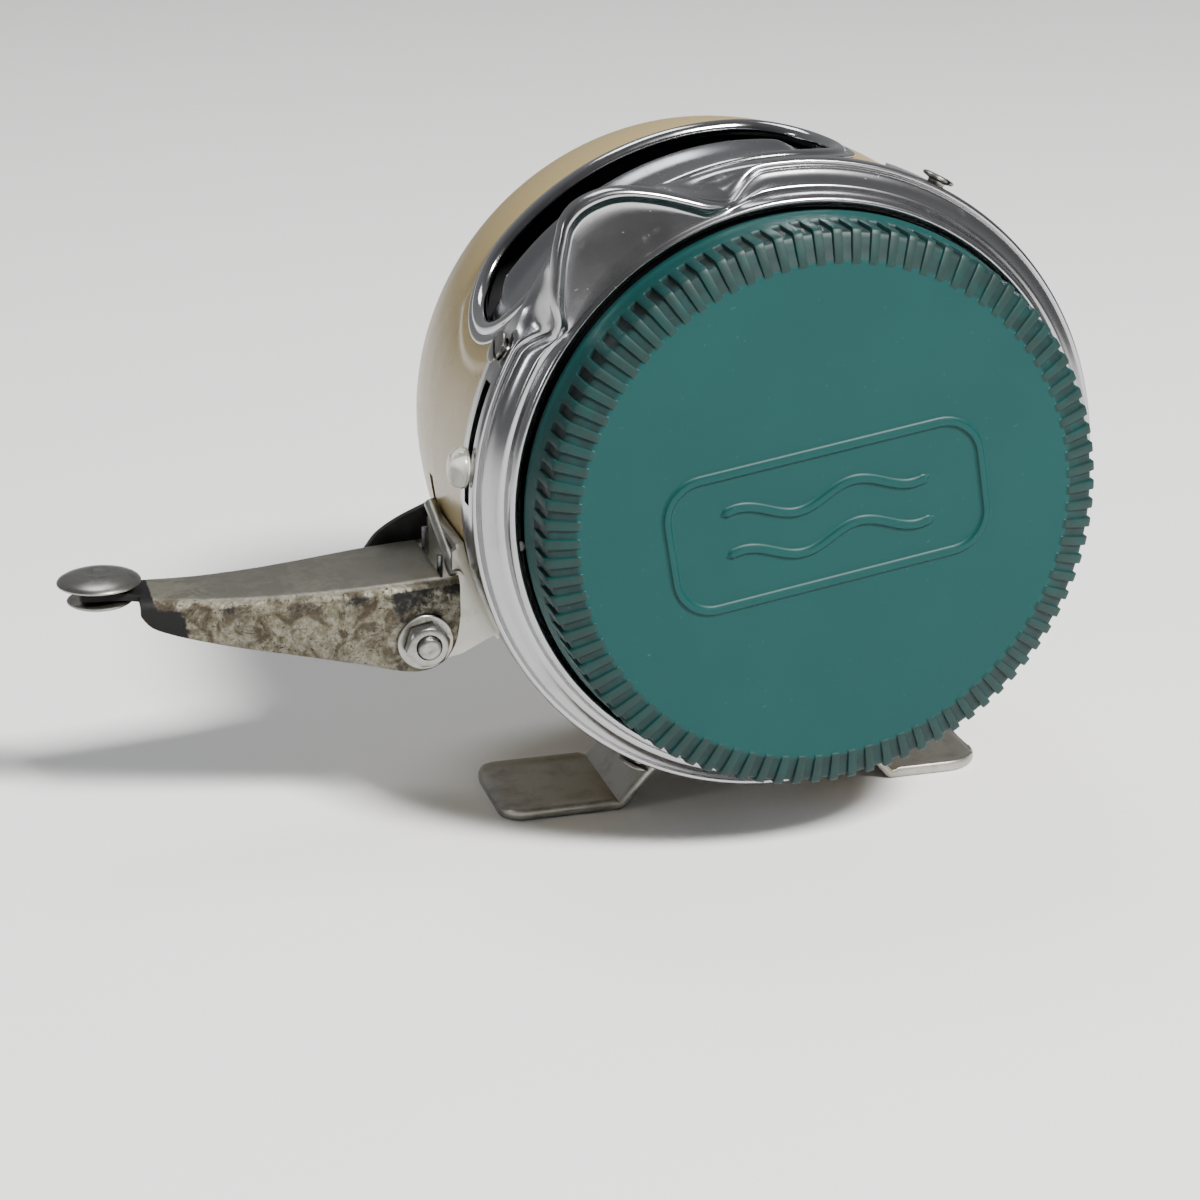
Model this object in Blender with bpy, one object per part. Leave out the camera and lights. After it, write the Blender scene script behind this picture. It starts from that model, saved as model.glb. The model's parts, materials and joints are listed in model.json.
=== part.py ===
"""Upright automatic fly reel: winding knob, spring housing, spool, line guard, foot and trigger.

The reel's axis runs along Y, the knob faces -Y, +Z is up and Z = 0 is the rod seat under the foot.
Working dimensions are millimetres measured from the knob's crest plane (y = 0) and the reel's axis
(x = z = 0); place() moves them into the world and scales them to metres. The world origin is the
middle of the reel's footprint, which falls on the foot's left pad.
"""
import math

import bmesh
import bpy
from mathutils import Matrix, Vector

# ---------------------------------------------------------------- driving dimensions (mm)
MM = 0.001
AXIS_HEIGHT = 45.5        # reel axis above the rod seat
FOOT_CENTRE_Y = 31.5
ORIGIN_X, ORIGIN_Y = -23.7, 28.875   # world origin

SKIRT_R = 39.7            # front housing, outside
SKIRT_REAR_Y = 19.0
NOTCH_REAR_Y = 14.9       # skirt cut back beside the line guard
COVER_R = 38.7            # rear cover, outside
COVER_T = 0.7
COVER_FRONT_Y = 14.3
COVER_BACK_Y = 58.4
COVER_SIDE = ((38.7, 38.5), (38.5, 44.0), (38.1, 49.0), (37.6, 52.5), (37.0, 55.3), (35.9, 57.1),
              (34.0, 58.1))            # the cover narrows slightly and rounds over at the back
DISH_R, DISH_DEPTH = 16.0, 2.6       # recess round the spindle nut
DRUM_R = 37.6             # fixed spring drum inside the cover
DRUM_REAR_Y = 32.5
DRUM_LIP = 1.0                 # flare of the drum's rear edge across the line window

GROOVES = 90              # grip grooves round the knob
KNOB_CREST_R = 34.3
KNOB_GROOVE_R = 33.85
KNOB_FACE_R = 30.2
KNOB_FACE_Y = -0.9
KNOB_FLANGE_R = 34.7
KNOB_BACK_Y = 8.0

SCREW_ANGLES = (62.0, 152.0, 242.0, 332.0)
SCREW_Y = 15.6
SLOT_A0, SLOT_A1, SLOT_Y, SLOT_W = 158.0, 180.0, 15.6, 2.2
BUTTON_A = 173.5

GUARD_A, GUARD_Y = 113.5, 27.75      # centre of the line window
GUARD_HALF_W = 10.2                  # cover opening, half width
GUARD_HALF_A = 38.4                  # cover opening, half length in degrees

SPOOL_R, HUB_R = 34.4, 11.0
SPOOL_Y0, SPOOL_Y1 = 34.0, 54.2
BARREL_R = 31.8
BARREL_Y0, BARREL_Y1 = 11.0, 31.2

PIVOT = (-43.6, -19.6)               # trigger pivot, x and z
LEVER_Y0, LEVER_Y1 = 23.0, 40.0      # outer faces of the trigger's side walls
ARM_Y0, ARM_Y1 = 40.5, 41.7          # brake arm

GAP = 0.3

for old in list(bpy.data.objects):
    bpy.data.objects.remove(old, do_unlink=True)


# ---------------------------------------------------------------- materials
def material(name, colour, metallic, rough, transmission=0.0):
    mat = bpy.data.materials.new(name)
    mat.use_nodes = True
    node = mat.node_tree.nodes["Principled BSDF"]
    node.inputs["Base Color"].default_value = (*colour, 1.0)
    node.inputs["Metallic"].default_value = metallic
    node.inputs["Roughness"].default_value = rough
    node.inputs["Transmission Weight"].default_value = transmission
    return mat


TEAL = material("teal_plastic", (0.035, 0.19, 0.175), 0.0, 0.42)
POLISHED = material("polished_aluminium", (0.80, 0.80, 0.79), 1.0, 0.20)
TAN = material("tan_enamel", (0.50, 0.43, 0.28), 0.0, 0.30)
CHROME = material("chrome_plate", (0.72, 0.72, 0.72), 1.0, 0.10)
SATIN = material("satin_aluminium", (0.62, 0.60, 0.56), 1.0, 0.38)
NICKEL = material("aged_nickel", (0.45, 0.42, 0.36), 1.0, 0.45)
STEEL = material("bright_steel", (0.60, 0.59, 0.57), 1.0, 0.30)
SPRING = material("spring_steel", (0.24, 0.25, 0.28), 1.0, 0.35)
BRASS = material("brass_bushing", (0.66, 0.47, 0.18), 1.0, 0.30)
BLACK = material("black_steel", (0.012, 0.012, 0.013), 0.2, 0.45)
RUBBER = material("brake_rubber", (0.02, 0.018, 0.016), 0.0, 0.80)
CLEAR = material("clear_plastic", (0.80, 0.82, 0.74), 0.0, 0.15, 0.6)
FIBRE = material("red_fibre", (0.26, 0.05, 0.03), 0.0, 0.70)


# ---------------------------------------------------------------- mesh helpers
def place(p):
    """Working millimetres -> world metres."""
    return Vector(((p[0] - ORIGIN_X) * MM, (p[1] - ORIGIN_Y) * MM, (p[2] + AXIS_HEIGHT) * MM))


def polar(r, deg, y):
    a = math.radians(deg)
    return (r * math.cos(a), y, r * math.sin(a))


def add(name, verts, faces, mat, origin=(0, 31.5, 0), hidden=False):
    """Closed body from working-millimetre vertices, its origin at a working-millimetre point."""
    base = place(origin)
    mesh = bpy.data.meshes.new(name)
    mesh.from_pydata([place(v) - base for v in verts], [], faces)
    bm = bmesh.new()
    bm.from_mesh(mesh)
    bmesh.ops.remove_doubles(bm, verts=bm.verts, dist=0.00001)
    bmesh.ops.recalc_face_normals(bm, faces=bm.faces)
    if bm.calc_volume(signed=True) < 0:
        bmesh.ops.reverse_faces(bm, faces=bm.faces)
    bm.to_mesh(mesh)
    bm.free()
    mesh.materials.append(mat)
    obj = bpy.data.objects.new(name, mesh)
    obj.location = base
    bpy.context.scene.collection.objects.link(obj)
    if hidden:
        obj.hide_render = True
        obj.display_type = "WIRE"
    return obj


def boolean(obj, tool, operation):
    mod = obj.modifiers.new(operation.lower(), "BOOLEAN")
    mod.operation, mod.object, mod.solver = operation, tool, "EXACT"
    dep = bpy.context.evaluated_depsgraph_get()
    mesh = bpy.data.meshes.new_from_object(obj.evaluated_get(dep))
    obj.modifiers.remove(mod)
    old, obj.data = obj.data, mesh
    bpy.data.meshes.remove(old)
    bpy.data.objects.remove(tool, do_unlink=True)


def cut(obj, *tools):
    for tool in tools:
        boolean(obj, tool, "DIFFERENCE")


def fuse(obj, *tools):
    for tool in tools:
        boolean(obj, tool, "UNION")


def grid_faces(rows, cols, close_rows, close_cols):
    """Quads over a rows x cols grid of vertices, closed round either way."""
    faces = []
    for i in range(rows if close_rows else rows - 1):
        for j in range(cols if close_cols else cols - 1):
            i2, j2 = (i + 1) % rows, (j + 1) % cols
            faces.append((i * cols + j, i2 * cols + j, i2 * cols + j2, i * cols + j2))
    return faces


def lathe_y(profile, n, centre=(0.0, 0.0), a0=0.0):
    """Solid turned about a line parallel to Y. Profile is (r, y), closed unless it ends on the line."""
    on_axis = profile[0][0] == 0.0 and profile[-1][0] == 0.0
    body = profile[1:-1] if on_axis else profile
    verts = []
    for j in range(n):
        for r, y in body:
            x, _, z = polar(r, a0 + 360.0 * j / n, y)
            verts.append((x + centre[0], y, z + centre[1]))
    faces = grid_faces(n, len(body), True, not on_axis)
    if on_axis:
        faces.append([j * len(body) for j in range(n)])
        faces.append([j * len(body) + len(body) - 1 for j in range(n)])
    return verts, faces


def lathe_z(profile, n, centre):
    """Solid turned about a vertical line, profile (r, z) from axis to axis."""
    verts, faces = lathe_y(profile, n)
    return [(x + centre[0], z + centre[1], y) for x, y, z in verts], faces


def loft(sections):
    """Closed body through rings of equal length, capped at both ends."""
    n = len(sections[0])
    verts = [p for ring in sections for p in ring]
    faces = grid_faces(len(sections), n, False, True)
    faces += [list(range(n)), [len(verts) - n + j for j in range(n)]]
    return verts, faces


def prism(points, y0, y1):
    """Flat plate: (x, z) outline between two y values."""
    return loft([[(x, y0, z) for x, z in points], [(x, y1, z) for x, z in points]])


def arc_band(r0, r1, y0, y1, a0, a1, n):
    """Curved strip hugging the reel's axis."""
    rings = []
    for i in range(n + 1):
        a = a0 + (a1 - a0) * i / n
        rings.append([polar(r, a, y) for r, y in ((r0, y0), (r1, y0), (r1, y1), (r0, y1))])
    return loft(rings)


def radial_pin(a, y, steps, n=12):
    """Turned pin pointing out from the reel's axis; steps are (pin radius, distance from the axis)."""
    ca, sa = math.cos(math.radians(a)), math.sin(math.radians(a))
    rings = []
    for r, d in steps:
        ring = []
        for k in range(n):
            t = 2 * math.pi * k / n
            u, v = r * math.cos(t), r * math.sin(t)
            ring.append((d * ca - u * sa, y + v, d * sa + u * ca))
        rings.append(ring)
    return loft(rings)


def tube(path, r, sides):
    """Round wire along a path."""
    rings = []
    for i, p in enumerate(path):
        a, b = Vector(path[max(i - 1, 0)]), Vector(path[min(i + 1, len(path) - 1)])
        d = (b - a).normalized()
        u = d.cross(Vector((0, 1, 0.05))).normalized()
        v = d.cross(u)
        rings.append([tuple(Vector(p) + r * (math.cos(2 * math.pi * k / sides) * u
                                             + math.sin(2 * math.pi * k / sides) * v))
                      for k in range(sides)])
    return loft(rings)


def disc_points(cx, cz, r, n, a0=0.0):
    return [(cx + r * math.cos(math.radians(a0 + 360 * k / n)),
             cz + r * math.sin(math.radians(a0 + 360 * k / n))) for k in range(n)]


def smooth(t):
    t = max(0.0, min(1.0, t))
    return t * t * (3 - 2 * t)


def table(x, pairs):
    """Smooth interpolation through (x, value) pairs sorted by x."""
    for (x0, v0), (x1, v1) in zip(pairs, pairs[1:]):
        if x <= x1:
            return v0 + (v1 - v0) * smooth((x - x0) / (x1 - x0))
    return pairs[-1][1]


# ---------------------------------------------------------------- winding knob
def build_knob():
    pitch = 360.0 / GROOVES
    fine = []                       # one ring per row, four columns a groove
    for r_hi, r_lo, y_hi, y_lo in ((KNOB_FACE_R, KNOB_FACE_R, KNOB_FACE_Y, KNOB_FACE_Y),
                                   (KNOB_CREST_R, KNOB_GROOVE_R, 0.0, 0.55),
                                   (KNOB_CREST_R, KNOB_GROOVE_R, 4.5, 4.5),
                                   (KNOB_CREST_R + 0.02, KNOB_CREST_R + 0.02, 4.55, 4.55)):
        ring = []
        for g in range(GROOVES):
            for k, hi in ((0.02, 1), (0.48, 1), (0.52, 0), (0.98, 0)):
                a = (g + k) * pitch
                ring.append(polar(r_hi if hi else r_lo, a, y_hi if hi else y_lo))
        fine.append(ring)
    verts = [p for ring in fine for p in ring]
    cols = 4 * GROOVES
    faces = grid_faces(len(fine), cols, False, True)
    inner = [(KNOB_FLANGE_R, 6.6), (KNOB_FLANGE_R, KNOB_BACK_Y), (33.3, KNOB_BACK_Y), (32.2, 1.6),
             (11.0, 1.4), (11.0, 9.0), (8.1, 9.0), (8.1, 2.4)]
    start = len(verts)
    n = GROOVES // 2
    for r, y in inner:
        verts += [polar(r, 2 * g * pitch, y) for g in range(n)]
    last = (len(fine) - 1) * cols
    for g in range(n):                       # from the fine crest ring to the coarse flange ring
        ring = [last + (8 * g + k) % cols for k in range(9)]
        faces.append(ring + [start + (g + 1) % n, start + g])
    for i in range(len(inner) - 1):
        for g in range(n):
            a, b = start + i * n, start + (i + 1) * n
            faces.append((a + g, a + (g + 1) % n, b + (g + 1) % n, b + g))
    faces.append([start + (len(inner) - 1) * n + g for g in range(n)])
    faces.append([k for k in range(cols)])
    knob = add("winding_knob", verts, faces, TEAL, (0, 0, 0))

    # raised motif: a rounded frame and two wavy ribs, tilted with the reel
    def tilted(points, dy0, dy1):
        t = math.radians(9.0)
        turned = [(x * math.cos(t) - z * math.sin(t), x * math.sin(t) + z * math.cos(t)) for x, z in points]
        return prism(turned, dy0, dy1)

    def frame(w, h, r):
        pts = []
        for sx, sz, a0 in ((1, 1, 0), (-1, 1, 90), (-1, -1, 180), (1, -1, 270)):
            for k in range(5):
                a = math.radians(a0 + 22.5 * k)
                pts.append((sx * (w - r) + r * math.cos(a), sz * (h - r) + r * math.sin(a)))
        return pts

    plaque = add("plaque", *tilted(frame(20.0, 8.6, 5.0), -1.35, -0.5), TEAL)
    cut(plaque, add("plaque_cut", *tilted(frame(19.0, 7.6, 4.1), -1.6, -0.2), TEAL))
    fuse(knob, plaque)
    for dz in (-2.6, 2.6):
        mid = [(x, dz + 1.1 * math.sin(x / 2.3)) for x in [-13 + 1.3 * k for k in range(21)]]
        rib = [(x, z + 0.45) for x, z in mid] + [(x, z - 0.45) for x, z in reversed(mid)]
        fuse(knob, add("rib", *tilted(rib, -1.35, -0.5), TEAL))
    return knob


# ---------------------------------------------------------------- housings
# line hood: radius of its rolled rim against angle, and how far its foot stands out from the skirt
HOOD_RIM = ((101.0, 36.0), (103.0, 36.4), (106.5, 37.6), (109.3, 38.7), (112.3, 40.2), (115.0, 41.7),
            (117.6, 43.1), (120.2, 44.4), (123.0, 45.4), (127.0, 46.0), (130.0, 45.6), (131.6, 44.8),
            (134.0, 43.6), (137.1, 41.9), (140.3, 40.2), (143.3, 37.9), (145.6, 36.4), (149.0, 36.0))
HOOD_FOOT = ((101.0, 0.0), (108.0, 0.2), (114.0, 1.0), (120.0, 2.2), (128.0, 2.8), (134.0, 2.2), (140.0, 1.4),
             (146.0, 0.6), (149.6, 0.0))
HOOD_MIX = ((96.0, 0.0), (107.0, 1.0), (140.5, 1.0), (151.0, 0.0))
HOOD_TILT = 0.22                # how far the pocket's floor leans back, per mm of radius
FRONT_PLAIN = ((8.4, 9.6), (34.1, 9.6), (34.9, 9.3), (35.2, 8.6), (35.6, 8.35), (36.2, 8.8), (36.5, 10.1),
               (37.4, 10.7), (38.6, 12.0), (39.1, 12.9), (SKIRT_R, 13.5))
BACK_PLAIN = ((8.4, 10.4), (34.5, 10.4), (35.7, 10.8), (36.6, 11.7), (37.8, 12.9), (38.3, 13.5),
              (38.98, 14.2))
SKIRT_T = 0.72


def between(a, pairs):
    """Linear interpolation, level beyond the ends."""
    if a <= pairs[0][0]:
        return pairs[0][1]
    for (a0, v0), (a1, v1) in zip(pairs, pairs[1:]):
        if a <= a1:
            return v0 + (v1 - v0) * (a - a0) / (a1 - a0)
    return pairs[-1][1]


def mixed(plain, hood, w):
    return [(r + (rh - r) * w, y + (yh - y) * w) for (r, y), (rh, yh) in zip(plain, hood)]


def build_front_housing():
    n = 72
    rings = []
    for j in range(n):
        a = 360.0 * j / n
        rim, foot, w = between(a, HOOD_RIM), SKIRT_R + between(a, HOOD_FOOT), between(a, HOOD_MIX)
        cutback = smooth((a - 70.0) / 2.0) * smooth((151.5 - a) / 9.0)
        rear = SKIRT_REAR_Y + (NOTCH_REAR_Y - SKIRT_REAR_Y) * cutback
        rim = max(rim, 36.6)
        roll = min(1.0, (rim - 36.4) / 2.4)              # the rim tapers away into the bead at both ends
        floor_r = rim - 2.5 * roll
        floor_y = 8.8 + HOOD_TILT * (floor_r - 36.3)
        crest_y = floor_y - 0.3 - 0.55 * roll
        hood = [(8.4, 9.6), (34.1, 9.6), (34.9, 9.3), (35.2, 8.6), (35.6, 8.4), (36.2, 8.75),
                (floor_r, floor_y), (rim - 1.05 * roll, crest_y), (rim - 0.3 * roll, crest_y + 0.4),
                (rim, crest_y + 1.5), (foot, 13.9)]
        hood_back = [(8.4, 10.4), (34.5, 10.4), (36.3, 10.3), (max(rim - 2.0, 36.6), 11.2), (rim - 0.9, 10.9),
                     (rim - 0.8, 11.4), (foot - SKIRT_T, 13.8)]
        loop = mixed(FRONT_PLAIN, hood, w) + [(foot, rear), (foot - SKIRT_T, rear)]
        loop += mixed(BACK_PLAIN, hood_back, w)[::-1]
        rings.append([polar(r, a, y) for r, y in loop])
    verts = [p for ring in rings for p in ring]
    housing = add("front_housing", verts, grid_faces(n, len(rings[0]), True, True), POLISHED)
    cut(housing, add("slot_cut", *arc_band(38.0, 41.0, SLOT_Y - SLOT_W / 2, SLOT_Y + SLOT_W / 2,
                                           SLOT_A0, SLOT_A1, 6), POLISHED))
    drill_screw_holes(housing)
    cut(housing, add("pin_cut", *prism(disc_points(*PAWL_PIN, 0.9, 10), 9.0, 11.0), POLISHED))
    return housing


def drill_screw_holes(obj):
    for a in SCREW_ANGLES:
        cut(obj, add("hole", *radial_pin(a, SCREW_Y, [(1.45, 35.5), (1.45, 41.5)]), STEEL))


def window_path(grow, n_end=8, n_side=8):
    """Obround outline of the line window, (angle, y, normal angle) in the unrolled cover."""
    per_deg = math.radians(COVER_R)                      # mm along the wall per degree
    half_w, half_l = GUARD_HALF_W + grow, GUARD_HALF_A * per_deg + grow
    straight = half_l - half_w
    pts = []
    for side in (1, -1):
        for k in range(n_side):
            u = side * straight * (1 - 2 * k / n_side)
            pts.append((u, side * half_w, 90 if side > 0 else 270))
        for k in range(n_end):
            a = (90 if side > 0 else 270) + 180.0 * k / n_end
            t = math.radians(a)
            pts.append((-side * straight + half_w * math.cos(t), half_w * math.sin(t), a))
    return [(GUARD_A + u / per_deg, GUARD_Y + v, a) for u, v, a in pts]


def build_rear_cover():
    t, dish = COVER_T, COVER_BACK_Y - DISH_DEPTH
    outer = [(COVER_R, COVER_FRONT_Y), *COVER_SIDE, (30.0, COVER_BACK_Y), (DISH_R, COVER_BACK_Y),
             (DISH_R - 2.5, dish), (3.3, dish)]
    inner = [(3.3, dish - t), (DISH_R - 2.1, dish - t), (DISH_R + 0.4, COVER_BACK_Y - t),
             (30.0, COVER_BACK_Y - t), (33.6, 57.4), (35.3, 56.6), (36.3, 55.1)]
    inner += [(r - t, y) for r, y in COVER_SIDE[3::-1]] + [(COVER_R - t, COVER_FRONT_Y)]
    cover = add("rear_cover", *lathe_y(outer + inner, 72), TAN)
    window = [[polar(rr, a, y) for a, y, _ in window_path(0.0)] for rr in (20.0, 37.2, 40.0, 60.0)]
    cut(cover, add("window_cut", *loft(window), TAN))
    drill_screw_holes(cover)
    cut(cover,
        add("slide_cut", *arc_band(36.5, 40.0, 13.0, 17.6, 156.2, 184.5, 8), TAN),
        add("arm_cut", *arc_band(36.5, 40.0, ARM_Y0 - 0.5, ARM_Y1 + 0.5, 186.0, 200.5, 5), TAN))
    for x in FOOT_RIVETS:
        cut(cover, add("hole", *rivet_column(x, 1.55, -36.0, -41.0), TAN))
    for a, y in BRACKET_RIVETS:
        cut(cover, add("hole", *radial_pin(a, y, [(1.25, 36.5), (1.25, 41.0)], 10), TAN))
    return cover


def build_drum():
    """Fixed cup that closes the spring chamber and carries the screws."""
    r, t, yb, fillet = DRUM_R, 0.8, DRUM_REAR_Y, 1.6
    outer = [(r, 14.9), (r, yb - fillet)]
    outer += [(r - fillet + fillet * math.cos(math.radians(k)),
               yb - fillet + fillet * math.sin(math.radians(k))) for k in (30, 60, 90)]
    outer += [(7.4, yb)]
    inner = [(7.4, yb - t)]
    inner += [(r - fillet + (fillet - t) * math.cos(math.radians(k)),
               yb - fillet + (fillet - t) * math.sin(math.radians(k))) for k in (90, 45, 0)]
    inner += [(r - t, 14.9)]
    n, rings = 72, []
    for j in range(n):
        a = 360.0 * j / n
        lip = DRUM_LIP * smooth((a - 79.0) / 6.0) * smooth((148.0 - a) / 6.0)
        rings.append([polar(rr + (lip * smooth((y - yb + 4.5) / 3.5) if rr > 30.0 else 0.0), a, y)
                      for rr, y in outer + inner])
    verts = [p for ring in rings for p in ring]
    drum = add("spring_drum", verts, grid_faces(n, len(rings[0]), True, True), POLISHED)
    drill_screw_holes(drum)
    cut(drum, add("slide_cut", *arc_band(36.0, 38.2, 14.0, 17.6, 156.2, 190.0, 8), POLISHED))
    return drum


def build_line_guard():
    """Rolled chrome rim round the line window: flat band outside, lip through the cover wall."""
    section = [(-0.35, -0.72), (-0.35, 0.3), (2.1, 0.3), (2.1, 0.62), (1.3, 0.95), (0.0, 1.05), (-0.7, 0.85),
               (-1.05, 0.3), (-1.0, -0.15), (-0.7, -0.72)]
    rings = []
    for n_out, h in section:
        rings.append([polar(COVER_R + h, a, y) for a, y, _ in window_path(n_out)])
    count = len(rings[0])
    verts = [rings[i][j] for j in range(count) for i in range(len(section))]
    return add("line_guard", verts, grid_faces(count, len(section), True, True), CHROME)


# ---------------------------------------------------------------- foot
FOOT_RIVETS = (-6.5, 6.5)
FOOT_LEFT, FOOT_RIGHT, FOOT_HALF_W, FOOT_T = -33.8, 31.6, 8.5, 1.2
FOOT_CORNERS = (3.0, 5.0)               # corner radius of the left and right pads
PAD_IN, RISER_OUT, SADDLE_OUT = 18.5, 18.2, 11.0


def rivet_column(x, r, z0, z1, n=12):
    ring = [(x + r * math.cos(2 * math.pi * k / n), FOOT_CENTRE_Y + r * math.sin(2 * math.pi * k / n))
            for k in range(n)]
    return loft([[(px, py, z) for px, py in ring] for z in (z0, z1)])


def build_foot():
    seat = -AXIS_HEIGHT
    saddle = COVER_R + GAP
    left = [FOOT_LEFT + f for f in (0.0, 0.25, 1.0, 2.0, 3.0)]
    right = [FOOT_RIGHT - f for f in (5.0, 3.5, 2.0, 0.9, 0.25, 0.0)]
    middle = [-19.6, -RISER_OUT, -12.2, -10.8, -7.0, -3.5, 0.0, 3.5, 7.0, 10.8, 12.2, RISER_OUT, 19.6]
    rings = []
    for x in left + middle + right:
        ax = abs(x)
        end, corner = (FOOT_LEFT, FOOT_CORNERS[0]) if x < 0 else (FOOT_RIGHT, FOOT_CORNERS[1])
        into = max(0.0, corner - abs(end - x))
        half = FOOT_HALF_W - corner + math.sqrt(corner ** 2 - into ** 2)
        cyl = -math.sqrt(saddle ** 2 - x * x)
        if ax <= SADDLE_OUT:
            top = cyl
        elif ax <= RISER_OUT:
            top = cyl + (seat + FOOT_T + 0.35 - cyl) * (ax - SADDLE_OUT) / (RISER_OUT - SADDLE_OUT)
        else:
            top = seat + FOOT_T
        bottom = seat if ax > PAD_IN else top - FOOT_T * (1.25 if ax > SADDLE_OUT else 1.0)
        if ax == RISER_OUT:
            bottom = seat + 0.1
        ring = [(x, FOOT_CENTRE_Y - half, bottom + 0.25), (x, FOOT_CENTRE_Y - half + 0.35, bottom),
                (x, FOOT_CENTRE_Y + half - 0.35, bottom), (x, FOOT_CENTRE_Y + half, bottom + 0.25),
                (x, FOOT_CENTRE_Y + half, top - 0.4), (x, FOOT_CENTRE_Y + half - 0.5, top),
                (x, FOOT_CENTRE_Y - half + 0.5, top), (x, FOOT_CENTRE_Y - half, top - 0.4)]
        rings.append(ring)
    foot = add("reel_foot", *loft(rings), SATIN)
    for x in FOOT_RIVETS:
        cut(foot, add("hole", *rivet_column(x, 1.55, -36.5, -42.0), SATIN))
    for k, x in enumerate(FOOT_RIVETS, 1):
        depth = math.sqrt(saddle ** 2 - x * x)
        under, over = -depth - FOOT_T, -math.sqrt((COVER_R - COVER_T) ** 2 - x * x)
        profile = [(0.0, under - 1.2), (1.6, under - 1.1), (2.5, under - 0.75), (2.5, under - 0.35),
                   (1.25, under - 0.35), (1.25, over), (0.0, over)]
        add(f"foot_rivet_{k}", *lathe_z(profile, 14, (x, FOOT_CENTRE_Y)), SATIN)
    return foot


# ---------------------------------------------------------------- trigger group
BRACKET_RIVETS = ((199.8, 31.5), (207.6, 31.5))
LEVER_TOP = ((-77.6, -12.4), (-76.0, -12.5), (-70.0, -12.9), (-62.0, -12.95), (-54.0, -12.6), (-46.0, -12.1),
             (-39.0, -11.7))
LEVER_LOW = ((-77.6, -14.6), (-76.9, -15.6), (-75.8, -16.4), (-72.0, -17.7), (-66.0, -19.2), (-59.0, -20.6),
             (-51.0, -22.3), (-45.5, -23.6), (-43.0, -23.5), (-41.0, -22.5), (-39.6, -20.3), (-39.0, -17.0))
LEVER_HALF = ((-77.6, 4.5), (-76.0, 4.7), (-70.0, 5.5), (-58.0, 7.2), (-48.0, 8.4), (-39.0, 8.5))


def lerp(x, pairs):
    for (x0, v0), (x1, v1) in zip(pairs, pairs[1:]):
        if x <= x1:
            return v0 + (v1 - v0) * (x - x0) / (x1 - x0)
    return pairs[-1][1]


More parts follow.
